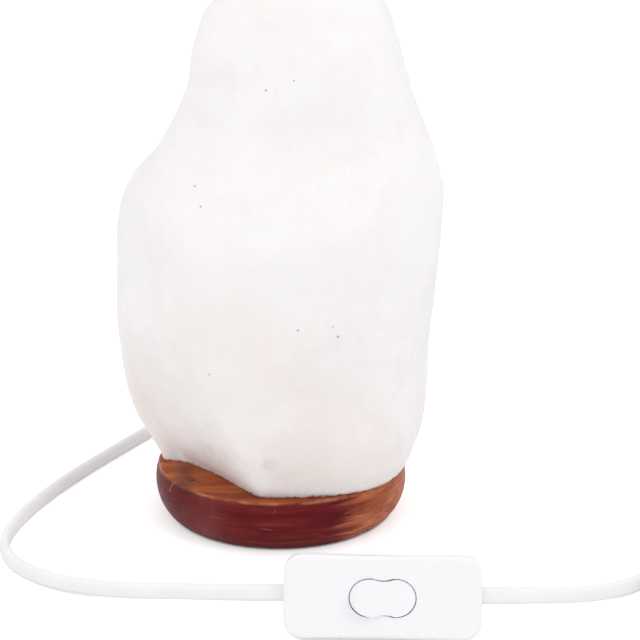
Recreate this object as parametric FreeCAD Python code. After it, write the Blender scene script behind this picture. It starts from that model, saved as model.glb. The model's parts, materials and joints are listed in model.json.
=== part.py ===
"""Salt crystal lamp: a hewn block of rock salt on a turned wooden base, lit by a small bulb in a
bore, with a flat two-core lead, an in-line rocker switch and a moulded mains plug.

Millimetres. The origin is on the table under the middle of the base: +X right, +Y to the back,
where the lead leaves the base, +Z up.
"""
import FreeCAD
import Part
import math
import os

Vector = FreeCAD.Vector
Placement = FreeCAD.Placement
Rotation = FreeCAD.Rotation
RIGHT = Vector(1, 0, 0)
BACK = Vector(0, 1, 0)
UP = Vector(0, 0, 1)
ORIGIN = Vector(0, 0, 0)

# ---------------------------------------------------------------- fits
RUNNING = 0.06  # radial play of a pivot in its bearing
CLEAR = 0.3  # play between parts that must not rub
NARROW = 0.15  # play of a part that drops into a seat

# ---------------------------------------------------------------- base
BASE_RADIUS = 45.7  # at the belly of the turned edge
BASE_TOP_RADIUS = 45.0
BASE_FOOT_RADIUS = 40.7
BASE_THICKNESS = 19.4
BASE_BELLY_HEIGHT = 9.2  # above the underside
BASE_EDGE_ROUND = 1.0
BORE_RADIUS = 23.0  # through the base and up into the crystal
FOOT_HEIGHT = 0.6
FOOT_RADIUS = 5.0
FOOT_CIRCLE = 33.0
FOOT_ANGLES = (50, 130, 230, 310)
CHIP_ANGLE = -42.6  # small nick in the lower edge
CHIP_WIDTH = 4.7
CHIP_HEIGHT = 1.6
CHIP_REACH = 3.0

SCREW_CIRCLE = 31.0
SCREW_ANGLES = (30, 150, 270)
SCREW_SHANK = 1.9
SCREW_HEAD = 3.8
SCREW_HEAD_HEIGHT = 2.4
SCREW_RECESS = 5.0  # how deep the screw heads sit in the base
SCREW_IN_SALT = 13.0
PLUG_WALL = 1.1

# ---------------------------------------------------------------- crystal
BORE_DEPTH = 92.0  # in the crystal, above the top of the base
# (height, left, right, front, back) of the hewn block, from the axis of the base
CRYSTAL_SECTIONS = (
    (20.0, 43.2, 45.6, 41.5, 42.0),
    (31.0, 48.9, 51.2, 45.6, 46.5),
    (46.0, 54.9, 53.6, 49.0, 49.6),
    (64.0, 57.6, 54.6, 50.2, 51.2),
    (84.0, 58.3, 56.0, 50.8, 51.8),
    (103.0, 58.2, 57.5, 50.6, 50.6),
    (119.0, 55.2, 58.2, 48.6, 48.6),
    (131.0, 47.4, 56.6, 44.6, 45.4),
    (144.0, 38.4, 51.4, 38.6, 40.6),
    (159.0, 32.6, 46.2, 34.0, 36.6),
    (175.0, 29.6, 41.4, 30.0, 32.0),
    (188.0, 20.8, 36.4, 25.0, 27.0),
    (198.0, 9.5, 29.0, 17.5, 19.0),
    (204.0, 1.5, 21.5, 10.5, 11.5),
    (206.0, -4.0, 15.5, 5.0, 6.0),
)
CRYSTAL_SQUARENESS = 2.35  # 2 is an ellipse, more is a squarer section
CRYSTAL_POINTS = 16  # round each section
# (angle, height, depth, angular spread, spread in height) of hollows, and of ridges if negative
CRYSTAL_HOLLOWS = (
    (232, 50, 5.0, 16, 26),
    (252, 78, -2.4, 12, 40),
    (285, 138, 4.2, 26, 12),
    (205, 104, 2.2, 18, 24),
    (300, 60, 2.4, 16, 22),
    (318, 40, -2.0, 10, 20),
    (342, 58, 2.0, 14, 22),
    (255, 168, 2.6, 24, 14),
    (75, 120, 3.6, 24, 26),
    (120, 66, 3.0, 20, 26),
    (40, 78, 3.2, 18, 22),
    (150, 150, 2.6, 22, 16),
)
FOOT_CUT_ANGLE = 220.5  # broken away at the front left of the foot
FOOT_CUT_REACH = 30.6  # from the axis, on top of the base
FOOT_CUT_LEAN = 46.0  # degrees that the break leans outwards
FOOT_CUT_RADIUS = 62.0  # the break is hollow

# ---------------------------------------------------------------- lead
CORD_WIDTH = 5.6
CORD_THICKNESS = 3.4
CORE_RADIUS = 1.15
WIRE_RADIUS = 1.0  # of a core where it runs alone in the switch
CORE_SPREAD = 1.3  # of each core from the middle of the lead
GROOVE_WIDTH = CORD_WIDTH + 2 * CLEAR
CORD_IN_BASE = 5.9  # height of the lead's middle in the groove
CORD_ON_TABLE = CORD_WIDTH / 2 + 0.02  # on edge
EXIT_REACH = 46.0  # where the lead leaves the base, from the axis
HOLDER_BEND = 9.0
SADDLE_LENGTH = 19.0
SADDLE_WIDTH = 8.0
SADDLE_THICKNESS = 2.3
SADDLE_REACH = 32.0
SADDLE_SCREW_SPREAD = 6.6

PLUG_THICKNESS = 13.7  # the plug lies flat, and the lead meets it at half of this height

# The lead from the back of the base, round the left, to the left end of the switch.
ROUTE_TO_SWITCH = (
    (0.8, 62.0, CORD_ON_TABLE),
    (1.6, 73.0, CORD_ON_TABLE),
    (2.0, 84.0, CORD_ON_TABLE),
    (-8.0, 99.3, CORD_ON_TABLE),
    (-24.9, 104.1, CORD_ON_TABLE),
    (-41.0, 97.3, CORD_ON_TABLE),
    (-54.6, 72.2, CORD_ON_TABLE),
    (-65.6, 51.0, CORD_ON_TABLE),
    (-76.6, 29.0, CORD_ON_TABLE),
    (-86.6, 6.0, CORD_ON_TABLE),
    (-94.2, -18.0, CORD_ON_TABLE),
    (-97.2, -40.5, CORD_ON_TABLE),
    (-90.6, -58.5, CORD_ON_TABLE),
    (-75.0, -72.7, CORD_ON_TABLE + 0.2),
    (-54.0, -80.8, CORD_ON_TABLE + 0.9),
    (-32.0, -86.6, 6.1),
    (-13.5, -94.2, 9.3),
)
# The lead from the right end of the switch to where it runs into the coil.
ROUTE_TO_COIL = (
    (82.0, -96.6, 9.4),
    (94.5, -90.4, 6.4),
    (107.5, -82.9, 3.9),
    (119.8, -74.4, CORD_ON_TABLE),
    (130.0, -62.9, CORD_ON_TABLE),
)
# The free end, from the top of the coil to the plug.
ROUTE_TO_PLUG = (
    (192.6, -56.0, 8.6),
    (196.2, -66.5, 8.1),
    (198.6, -76.5, 7.3),
    (199.5, -86.0, PLUG_THICKNESS / 2),
    (199.5, -94.0, PLUG_THICKNESS / 2),
)
COIL_CENTRE = Vector(161.0, -66.0, 0)
COIL_INNER = 24.0
COIL_TURNS_ACROSS = 3
COIL_LAYERS = 2
COIL_ROUND = 1.5
TIE_ANGLE = 250.0
TIE_WIDTH = 3.0
TIE_THICKNESS = 1.0

# ---------------------------------------------------------------- lampholder and bulb
HOLDER_BOTTOM = 15.5
HOLDER_CAP_RADIUS = 15.2
HOLDER_CAP_HEIGHT = 13.0
HOLDER_RADIUS = 14.0
HOLDER_HEIGHT = 33.0  # of the body above the cap
HOLDER_WALL = 1.7
HOLDER_FLOOR = 3.0
SHELL_RADIUS = 7.9  # of the screwed shell, outside
SHELL_WALL = 0.35
SHELL_LENGTH = 17.0
THREAD_DEPTH = 0.45
THREAD_PITCH = 2.82
CONTACT_WIDTH = 4.0
CONTACT_THICKNESS = 0.5
CLIP_WIDTH = 7.0
CLIP_THICKNESS = 0.6
CLIP_RISE = 17.0
CLIP_ANGLES = (0, 120, 240)
BULB_CAP_RADIUS = 6.9
BULB_CAP_LENGTH = 15.0
BULB_RADIUS = 12.6
BULB_LENGTH = 40.0  # of the glass above its cap
BULB_GLASS_WALL = 0.8
BULB_CAP_WALL = 0.3
CONTACT_BUTTON_RADIUS = 2.4
STEM_GLASS_RADIUS = 2.6
STEM_HEIGHT = 17.0
LEAD_SPREAD = 4.6  # of each wire that holds the filament, from the middle
LEAD_RADIUS = 0.25
HOLDER_TERMINAL_X = 7.6
HOLDER_CORE_Y = 1.2

# ---------------------------------------------------------------- in-line switch
SWITCH_LENGTH = 62.5
SWITCH_HEIGHT = 27.0
SWITCH_FRONT_DEPTH = 5.5
SWITCH_REAR_DEPTH = 12.0
SWITCH_WALL = 1.8
SWITCH_CORNER = 6.0
SWITCH_WAIST = 0.5
SWITCH_EDGE = 1.3
SWITCH_DRAFT = 15.0  # of the long sides of the rear shell, which it lies on
SWITCH_END_DRAFT = 7.0
SWITCH_MIDDLE_X = 34.0
SWITCH_MIDDLE_Y = -109.5
SWITCH_YAW = -2.0
CORD_BEHIND_FACE = 7.4
CORD_IN_SWITCH = 8.5

ROCKER_LENGTH = 20.7  # level with the face
ROCKER_WIDTH = 11.7
ROCKER_END_START = 4.3  # where its round ends begin, from its middle
ROCKER_WAIST = 0.6  # how far each long side is hollowed
ROCKER_WAIST_RADIUS = 9.0
ROCKER_PIVOT_DEPTH = 2.5
ROCKER_RISE = 2.0  # of its ends above the face when level
ROCKER_DIP = 1.1
ROCKER_SKIRT = 2.0  # its lower edge below the pivot
ROCKER_SKIN = 1.4
ROCKER_TILT = 9.0
TRUNNION_RADIUS = 1.2
TRUNNION_LENGTH = 1.6
STEM_RADIUS = 2.3
STEM_DEPTH = 5.0  # below the pivot
PLUNGER_RADIUS = 1.3
PLUNGER_REACH = 6.6  # of its tip below the pivot
SPRING_WIRE = 0.25
LEVER_LENGTH = 16.0
LEVER_WIDTH = 4.0
LEVER_THICKNESS = 1.0
KNIFE_RADIUS = 0.4  # of the rounded ridge that the lever rocks on
KNIFE_FOOT = 1.3  # half width of the ridge at the floor
LEVER_TILT = 7.0
TERMINAL_SIZE = 5.0
TERMINAL_X = 13.0
TERMINAL_Y = -5.2
TERMINAL_HEIGHT = 5.5
TERMINAL_HOLE_HEIGHT = 1.8  # of the core's hole above the floor
TERMINAL_SCREW_RISE = 1.2  # of the screw's head above the block
SMALL_SCREW = 1.2  # shank radius
CASE_SCREW_X = 13.5
CASE_SCREW_Y = 7.4
CLAMP_X = 26.2
CLAMP_LENGTH = 3.6  # along the lead
CLAMP_THICKNESS = 2.0
CLAMP_SCREW_Y = 5.2

# ---------------------------------------------------------------- mains plug
PLUG_WIDTH = 35.3
PLUG_LENGTH = 35.0
PLUG_TAPER_WIDTH = 17.0
PIN_RADIUS = 2.0
PIN_LENGTH = 19.0
PIN_SPACING = 18.6
PIN_IN_BODY = 8.0
PIN_SHANK_RADIUS = 1.5
PIN_COLLAR_RADIUS = 2.6
PIN_COLLAR_DEPTH = 5.0  # of the collar's inner side, behind the plug's face
SLEEVE_RADIUS = 1.8
SLEEVE_LENGTH = 10.0
RELIEF_LENGTH = 14.0
RELIEF_RADIUS = 3.7
RELIEF_END_RADIUS = 3.1
RELIEF_GROOVES = 4

BASE_BOTTOM = FOOT_HEIGHT
BASE_TOP = BASE_BOTTOM + BASE_THICKNESS


# ================================================================ helpers
def polar(radius, degrees, height=0.0):
    """Point at an angle from +X round the Z axis."""
    angle = math.radians(degrees)
    return Vector(radius * math.cos(angle), radius * math.sin(angle), height)


def cylinder(radius, height, base=ORIGIN, axis=UP):
    return Part.makeCylinder(radius, height, base, axis)


def box(size_x, size_y, size_z, middle):
    """Box given by its size and its middle."""
    corner = middle - Vector(size_x, size_y, size_z) / 2
    return Part.makeBox(size_x, size_y, size_z, corner)


def turned(*outline):
    """Solid turned about Z from an outline of (radius, height) points and edges."""
    points = [Vector(radius, 0, height) for radius, height in outline]
    face = Part.Face(Part.makePolygon(points + [points[0]]))
    return face.revolve(ORIGIN, UP, 360)


def ring_of(make, angles, radius):
    """Copies of a solid made at the origin, set on a circle and turned to face outwards."""
    copies = []
    for angle in angles:
        copy = make.copy()
        copy.rotate(ORIGIN, UP, angle)
        copy.translate(polar(radius, angle))
        copies.append(copy)
    return copies


def screw(shank_radius, head_radius, head_height, length, slot=0.8):
    """Countersunk screw: its flat head at z = 0, its point upwards."""
    tip = shank_radius * 1.6
    body = turned(
        (0, 0),
        (head_radius, 0),
        (head_radius, head_height * 0.2),
        (shank_radius, head_height),
        (shank_radius, length - tip),
        (shank_radius * 0.2, length),
        (0, length),
    )
    blade = box(head_radius * 1.5, slot, head_height * 0.9, ORIGIN)
    return body.cut(blade.fuse(blade.rotated(ORIGIN, UP, 90)))


def screw_seat(shank_radius, head_radius, head_height, base):
    """Room for a countersunk head and the shank above it, from a face at its base."""
    flat = cylinder(head_radius, head_height * 0.2, base)
    sink = Part.makeCone(head_radius, shank_radius, head_height * 0.8, base + UP * head_height * 0.2)
    return flat.fuse(sink)


# ================================================================ lead
def rounded_route(points):
    """Straight runs joined by tangent arcs. Gives the wire, its length and the radii."""
    points = [Vector(*point) for point in points]
    edges = []
    radii = []
    start = points[0]
    for before, corner, after in zip(points, points[1:], points[2:]):
        arriving = (corner - before).normalize()
        leaving = (after - corner).normalize()
        turn = arriving.getAngle(leaving)
        shorter = min((corner - before).Length, (after - corner).Length)
        tangent = 0.45 * shorter
        radius = tangent / math.tan(turn / 2)
        inward = (leaving - arriving).normalize()
        middle = corner + inward * (radius / math.cos(turn / 2) - radius)
        arc_start = corner - arriving * tangent
        arc_end = corner + leaving * tangent
        edges.append(Part.LineSegment(start, arc_start).toShape())
        edges.append(Part.Arc(arc_start, middle, arc_end).toShape())
        radii.append(radius)
        start = arc_end
    edges.append(Part.LineSegment(start, points[-1]).toShape())
    wire = Part.Wire(edges)
    return wire, wire.Length, radii


def cord_section(middle, along, wide):
    """Outline of the flat lead: two half rounds joined by flats, wide along one direction."""
    wide = wide - along * wide.dot(along)
    wide = Vector(wide).normalize()
    thin = along.cross(wide).normalize()
    half_round = CORD_THICKNESS / 2
    flat = CORD_WIDTH / 2 - half_round
    top, bottom = middle + wide * flat, middle - wide * flat
    side = thin * half_round
    return Part.Wire([
        Part.LineSegment(bottom + side, top + side).toShape(),
        Part.Arc(top + side, top + wide * half_round, top - side).toShape(),
        Part.LineSegment(top - side, bottom - side).toShape(),
        Part.Arc(bottom - side, bottom - wide * half_round, bottom + side).toShape(),
    ])


def cord_area():
    half_round = CORD_THICKNESS / 2
    return math.pi * half_round ** 2 + (CORD_WIDTH - CORD_THICKNESS) * CORD_THICKNESS


def cord_along(name, points):
    """The lead on edge along a route, with its radii and volume reported."""
    wire, length, radii = rounded_route(points)
    first = Vector(*points[0])
    along = (Vector(*points[1]) - first).normalize()
    solid = wire.makePipe(Part.Face(cord_section(first, along, UP)))
    share = solid.Volume / (length * cord_area())
    print(f"{name}: length {length:.1f}, volume / (section x length) {share:.4f}")
    print("  radii", " ".join(f"{radius:.0f}" for radius in radii))
    return solid


def wide_at(solid, point):
    """Direction of the lead's width in the end face at a point."""
    face = min(solid.Faces, key=lambda one: (one.CenterOfMass - point).Length)
    flat = max(face.Edges, key=lambda one: one.Length if one.Curve.TypeId == "Part::GeomLine" else 0)
    wide = flat.tangentAt(flat.FirstParameter)
    return wide if wide.z > 0 else wide * -1


def twisted_cord(start, start_along, start_wide, end, end_along, end_wide, steps=6):
    """A short stretch of the lead that bends and turns over between two given ends."""
    reach = (end - start).Length / 3
    before, after = start + start_along * reach, end - end_along * reach
    sections = []
    for step in range(steps + 1):
        part = step / steps
        rest = 1 - part
        middle = (start * rest ** 3 + before * (3 * rest ** 2 * part)
                  + after * (3 * rest * part ** 2) + end * part ** 3)
        along = ((before - start) * rest ** 2 + (after - before) * (2 * rest * part)
                 + (end - after) * part ** 2).normalize()
        ease = part * part * (3 - 2 * part)
        wide = start_wide * math.cos(ease * math.pi / 2) + end_wide * math.sin(ease * math.pi / 2)
        if start_wide.dot(end_wide) > 0.1:
            wide = start_wide * (1 - ease) + end_wide * ease
        sections.append(cord_section(middle, along, wide))
    return Part.makeLoft(sections, True, False)


def straight_cord(start, along, wide, length):
    return Part.Face(cord_section(start, along, wide)).extrude(along * length)


def round_wire(points, radius):
    """Round wire or core along a short route."""
    wire = rounded_route(points)[0]
    along = (Vector(*points[1]) - Vector(*points[0])).normalize()
    circle = Part.Wire(Part.makeCircle(radius, Vector(*points[0]), along))
    return wire.makePipeShell([circle], True, False)


# ================================================================ base
def wooden_base():
    belly = Vector(BASE_RADIUS, 0, BASE_BOTTOM + BASE_BELLY_HEIGHT)
    low = Vector(BASE_FOOT_RADIUS, 0, BASE_BOTTOM)
    rim = Vector(BASE_TOP_RADIUS, 0, BASE_TOP - BASE_EDGE_ROUND)
    top = Vector(BASE_TOP_RADIUS - BASE_EDGE_ROUND, 0, BASE_TOP)
    shoulder = Vector(BASE_TOP_RADIUS - BASE_EDGE_ROUND * 0.29, 0, BASE_TOP - BASE_EDGE_ROUND * 0.29)
    bore_top = Vector(BORE_RADIUS, 0, BASE_TOP)
    bore_low = Vector(BORE_RADIUS, 0, BASE_BOTTOM)
    outline = Part.Wire([
        Part.Arc(low, belly, rim).toShape(),
        Part.Arc(rim, shoulder, top).toShape(),
        Part.LineSegment(top, bore_top).toShape(),
        Part.LineSegment(bore_top, bore_low).toShape(),
        Part.LineSegment(bore_low, low).toShape(),
    ])
    body = Part.Face(outline).revolve(ORIGIN, UP, 360)
    groove_top = CORD_IN_BASE + CORD_THICKNESS / 2 + CLEAR
    groove_height = groove_top - BASE_BOTTOM
    groove_length = BASE_RADIUS + 2 - BORE_RADIUS + 2
    body = body.cut(Part.makeBox(
        GROOVE_WIDTH, groove_length, groove_height + 1,
        Vector(-GROOVE_WIDTH / 2, BORE_RADIUS - 2, BASE_BOTTOM - 1)))
    saddle_seat = box(
        SADDLE_LENGTH + 2 * NARROW, SADDLE_WIDTH + 2 * NARROW, 2 * saddle_top() - 2 * BASE_BOTTOM,
        Vector(0, SADDLE_REACH, BASE_BOTTOM))
    body = body.cut(saddle_seat)
    for side in (-1, 1):
        middle = Vector(side * SADDLE_SCREW_SPREAD, SADDLE_REACH, saddle_top() - 0.01)
        body = body.cut(cylinder(SMALL_SCREW, 7.0, middle))
    for angle in SCREW_ANGLES:
        low = polar(SCREW_CIRCLE, angle, BASE_BOTTOM)
        seat = polar(SCREW_CIRCLE, angle, BASE_BOTTOM + SCREW_RECESS)
        body = body.cut(cylinder(SCREW_HEAD + CLEAR, SCREW_RECESS, low))
        body = body.cut(cylinder(SCREW_SHANK, BASE_THICKNESS, low))
        body = body.cut(screw_seat(SCREW_SHANK, SCREW_HEAD, SCREW_HEAD_HEIGHT, seat))
    return body.cut(edge_chip())


def edge_chip():
    """Shallow arch broken out of the lower edge."""
    middle = polar(BASE_FOOT_RADIUS - CHIP_REACH, CHIP_ANGLE, BASE_BOTTOM)
    across = polar(CHIP_WIDTH / 2, CHIP_ANGLE + 90)
    top = middle + UP * CHIP_HEIGHT
    arch = Part.Wire([
        Part.Arc(middle + across, top, middle - across).toShape(),
        Part.LineSegment(middle - across, middle + across).toShape(),
    ])
    return Part.Face(arch).extrude(polar(2 * CHIP_REACH, CHIP_ANGLE))


def base_feet():
    pad = turned((0, 0), (FOOT_RADIUS - 0.3, 0), (FOOT_RADIUS, 0.3), (FOOT_RADIUS, FOOT_HEIGHT),
                 (0, FOOT_HEIGHT))
    return ring_of(pad, FOOT_ANGLES, FOOT_CIRCLE)


def screw_length():
    return BASE_THICKNESS - SCREW_RECESS + SCREW_IN_SALT


def base_screws():
    one = screw(SCREW_SHANK, SCREW_HEAD, SCREW_HEAD_HEIGHT, screw_length())
    one.translate(UP * (BASE_BOTTOM + SCREW_RECESS))
    return ring_of(one, SCREW_ANGLES, SCREW_CIRCLE)


def plug_cavity():
    """Room that a screw plug takes in the foot of the crystal."""
    return cylinder(SCREW_SHANK + PLUG_WALL, SCREW_IN_SALT + 2)


def screw_plugs():
    """Plastic plugs in the drilled foot, with a closed end, held by barbs."""
    outer = SCREW_SHANK + PLUG_WALL
    length = SCREW_IN_SALT + 2
    body = turned(
        (SCREW_SHANK, 0), (outer, 0), (outer, length * 0.55), (outer - 0.5, length * 0.6),
        (outer, length * 0.65), (outer - 0.4, length), (0, length), (0, length - 1.6),
        (SCREW_SHANK, length - 1.9))
    body.translate(UP * BASE_TOP)
    return ring_of(body, SCREW_ANGLES, SCREW_CIRCLE)


# ================================================================ crystal
def crystal_radius(angle, height, left, right, front, back):
    """Distance from the axis to the hewn face at an angle, with its hollows and ridges."""
    across = math.cos(math.radians(angle))
    along = math.sin(math.radians(angle))
    half_x = right if across > 0 else left
    half_y = back if along > 0 else front
    power = CRYSTAL_SQUARENESS
    radius = (abs(across / half_x) ** power + abs(along / half_y) ** power) ** (-1 / power)
    for at, level, depth, spread, rise in CRYSTAL_HOLLOWS:
        turn = (angle - at + 180) % 360 - 180
        radius -= depth * math.exp(-(turn / spread) ** 2 - ((height - level) / rise) ** 2)
    return radius


def crystal_section(height, left, right, front, back):
    """Closed smooth curve round the block at one height, about the middle of its own width."""
    shift = (right - left) / 2
    half = (right + left) / 2
    points = []
    for number in range(CRYSTAL_POINTS):
        angle = 360 * number / CRYSTAL_POINTS
        radius = crystal_radius(angle, height, half, half, front, back)
        points.append(polar(radius, angle, height) + RIGHT * shift)
    curve = Part.BSplineCurve()
    curve.interpolate(Points=points, PeriodicFlag=True)
    return Part.Wire(curve.toShape())


def salt_crystal():
    """The hewn block: a loft through its sections, broken at the foot and drilled from below."""
    rings = [crystal_section(*section) for section in CRYSTAL_SECTIONS]
    block = Part.makeLoft(rings, True, False)
    outward = polar(math.cos(math.radians(FOOT_CUT_LEAN)), FOOT_CUT_ANGLE,
                    -math.sin(math.radians(FOOT_CUT_LEAN)))
    on_face = polar(FOOT_CUT_REACH, FOOT_CUT_ANGLE, BASE_TOP)
    block = block.cut(Part.makeSphere(FOOT_CUT_RADIUS, on_face + outward * FOOT_CUT_RADIUS))
    block = block.cut(cylinder(BORE_RADIUS, BORE_DEPTH + 1, UP * (BASE_TOP - 1)))
    for angle in SCREW_ANGLES:
        hole = plug_cavity()
        hole.translate(polar(SCREW_CIRCLE, angle, BASE_TOP))
        block = block.cut(hole)
    return block


# ================================================================ lead inside the base
def saddle_top():
    return CORD_IN_BASE - CORD_THICKNESS / 2


def cord_saddle():
    strap = box(SADDLE_LENGTH, SADDLE_WIDTH, SADDLE_THICKNESS,
                Vector(0, SADDLE_REACH, saddle_top() - SADDLE_THICKNESS / 2))
    strap = strap.makeFillet(0.8, [e for e in strap.Edges if abs(e.tangentAt(0).z) > 0.9])
    for side in (-1, 1):
        hole = Vector(side * SADDLE_SCREW_SPREAD, SADDLE_REACH, saddle_top() - SADDLE_THICKNESS)
        strap = strap.cut(cylinder(SMALL_SCREW, SADDLE_THICKNESS, hole))
        strap = strap.cut(screw_seat(SMALL_SCREW, SMALL_SCREW * 2, SMALL_SCREW, hole))
    return strap


def cord_saddle_screws():
    low = saddle_top() - SADDLE_THICKNESS
    pair = []
    for side in (-1, 1):
        one = screw(SMALL_SCREW, SMALL_SCREW * 2, SMALL_SCREW, 8.0, slot=0.5)
        one.translate(Vector(side * SADDLE_SCREW_SPREAD, SADDLE_REACH, low))
        pair.append(one)
    return pair


def cord_inside():
    """From the mouth of the lampholder's cap down and out through the groove, lying flat."""
    rise = HOLDER_BOTTOM + HOLDER_FLOOR + 2.0
    bend_start = Vector(0, HOLDER_BEND, CORD_IN_BASE)
    bend_end = Vector(0, 0, CORD_IN_BASE + HOLDER_BEND)
    inset = HOLDER_BEND * (1 - math.sin(math.pi / 4))
    route = Part.Wire([
        Part.LineSegment(Vector(0, EXIT_REACH, CORD_IN_BASE), bend_start).toShape(),
        Part.Arc(bend_start, Vector(0, inset, CORD_IN_BASE + inset), bend_end).toShape(),
        Part.LineSegment(bend_end, UP * rise).toShape(),
    ])
    section = cord_section(Vector(0, EXIT_REACH, CORD_IN_BASE), BACK * -1, RIGHT)
    return route.makePipeShell([section], True, False)


def cord_exit():
    """Lead outside the base: from flat in the groove to on edge on the table."""
    start = Vector(0, EXIT_REACH, CORD_IN_BASE)
    first, second = Vector(*ROUTE_TO_SWITCH[0]), Vector(*ROUTE_TO_SWITCH[1])
    along = (second - first).normalize()
    return twisted_cord(start, BACK, RIGHT, first, along, UP)


# ================================================================ lampholder
def holder_cap():
    """Bottom cap with a flat entry for the lead and a rim that the body screws into."""
    top = HOLDER_BOTTOM + HOLDER_CAP_HEIGHT
    inner = HOLDER_RADIUS + NARROW
    cap = turned(
        (0, HOLDER_BOTTOM), (HOLDER_CAP_RADIUS - 4, HOLDER_BOTTOM), (HOLDER_CAP_RADIUS, HOLDER_BOTTOM + 4),
        (HOLDER_CAP_RADIUS, top), (inner, top), (inner, top - 4), (inner - HOLDER_WALL, top - 4),
        (inner - HOLDER_WALL, HOLDER_BOTTOM + 5), (inner - HOLDER_WALL - 3, HOLDER_BOTTOM + HOLDER_FLOOR),
        (0, HOLDER_BOTTOM + HOLDER_FLOOR))
    mouth = box(CORD_WIDTH + 0.2, CORD_THICKNESS + 0.2, HOLDER_FLOOR * 3, UP * HOLDER_BOTTOM)
    return cap.cut(mouth)


def shell_bottom():
    return HOLDER_BOTTOM + HOLDER_CAP_HEIGHT + 11.0


def holder_top():
    return HOLDER_BOTTOM + HOLDER_CAP_HEIGHT - 4 + HOLDER_HEIGHT


def holder_body():
    """Open tube with a floor that carries the contacts, and a mouth round the bulb's cap."""
    low = HOLDER_BOTTOM + HOLDER_CAP_HEIGHT - 4
    top = holder_top()
    floor_top = shell_bottom() - 2.0
    bore = SHELL_RADIUS + NARROW
    body = turned(
        (HOLDER_RADIUS - HOLDER_WALL, low), (HOLDER_RADIUS, low), (HOLDER_RADIUS, top - 1),
        (HOLDER_RADIUS - 1, top), (bore, top), (bore, floor_top), (0, floor_top),
        (0, floor_top - HOLDER_FLOOR), (HOLDER_RADIUS - HOLDER_WALL, floor_top - HOLDER_FLOOR))
    for angle in (0, 180):
        body = body.cut(cylinder(CORE_RADIUS + 0.5, 3 * HOLDER_FLOOR,
                                 polar(5.0, angle, floor_top - 2 * HOLDER_FLOOR)))
    seat = turned((HOLDER_RADIUS - CLIP_THICKNESS, clip_level()),
                  (HOLDER_RADIUS + 1, clip_level()),
                  (HOLDER_RADIUS + 1, clip_level() + CLIP_WIDTH * 0.7),
                  (HOLDER_RADIUS - CLIP_THICKNESS, clip_level() + CLIP_WIDTH * 0.7))
    return body.cut(seat)


def threaded_tube(outer, wall, length, pitch, depth):
    """Thin rolled tube whose wall waves in and out like a thread."""
    rings = int(length // pitch) - 1
    outside = [(outer, 0)]
    for ring in range(rings):
        level = (ring + 0.7) * pitch
        outside += [(outer, level), (outer - depth, level + pitch / 2)]
    outside += [(outer, (rings + 0.7) * pitch), (outer, length)]
    inside = [(radius - wall, height) for radius, height in reversed(outside)]
    return turned(*(outside + inside))


def holder_shell():
    shell = threaded_tube(SHELL_RADIUS, SHELL_WALL, SHELL_LENGTH, THREAD_PITCH, THREAD_DEPTH)
    shell.translate(UP * (shell_bottom() - 2.0))
    return shell


def bulb_seat():
    """Height of the tip of the bulb's contact."""
    return shell_bottom() + 1.0


def holder_centre_contact():
    """Spring tongue, riveted to the floor and raised under the bulb's contact."""
    floor_top = shell_bottom() - 2.0
    high = bulb_seat() - 0.02
    outline = (
        (-5.5, floor_top), (-1.5, floor_top), (2.0, high - CONTACT_THICKNESS),
        (5.5, high - CONTACT_THICKNESS), (5.5, high), (1.8, high),
        (-1.7, floor_top + CONTACT_THICKNESS), (-5.5, floor_top + CONTACT_THICKNESS))
    points = [Vector(x, -CONTACT_WIDTH / 2, z) for x, z in outline]
    tongue = Part.Face(Part.makePolygon(points + [points[0]])).extrude(BACK * CONTACT_WIDTH)
    tongue.translate(RIGHT * -1.0)
    return tongue


def terminal_level():
    return shell_bottom() - 2.0 - HOLDER_FLOOR - 5.0


def holder_terminals():
    """Two brass clamps under the floor, each with a hole for its core."""
    pair = []
    for side in (-1, 1):
        x = side * HOLDER_TERMINAL_X
        block = box(4.4, 6.0, 5.0, Vector(x, 0, terminal_level() + 2.5))
        core_hole = cylinder(CORE_RADIUS + 0.1, 8, Vector(x, HOLDER_CORE_Y, terminal_level() - 1))
        screw_hole = cylinder(SMALL_SCREW, 4, Vector(x, -3.5, terminal_level() + 2.5), BACK)
        block = block.cut(core_hole).cut(screw_hole)
        pair.append(block)
    return pair


def holder_terminal_screws():
    pair = []
    for side in (-1, 1):
        one = screw(SMALL_SCREW - 0.01, 1.9, 1.2, 4.6, slot=0.5)
        one.rotate(ORIGIN, RIGHT, -90)
        one.translate(Vector(side * HOLDER_TERMINAL_X, -4.3, terminal_level() + 2.5))
        pair.append(one)
    return pair


def holder_wires():
    """The two insulated cores, from the end of the sheath up into the terminals."""
    low = HOLDER_BOTTOM + HOLDER_FLOOR + 2.0
    pair = []
    for side in (-1, 1):
        pair.append(round_wire((
            (side * CORE_SPREAD, 0, low),
            (side * CORE_SPREAD, 0, low + 2.0),
            (side * 4.6, HOLDER_CORE_Y, low + 5.2),
            (side * HOLDER_TERMINAL_X, HOLDER_CORE_Y, terminal_level() - 1.0),
            (side * HOLDER_TERMINAL_X, HOLDER_CORE_Y, terminal_level() + 2.0),
        ), CORE_RADIUS))
    return pair


def clip_level():
    return HOLDER_BOTTOM + HOLDER_CAP_HEIGHT + 0.6


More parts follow.
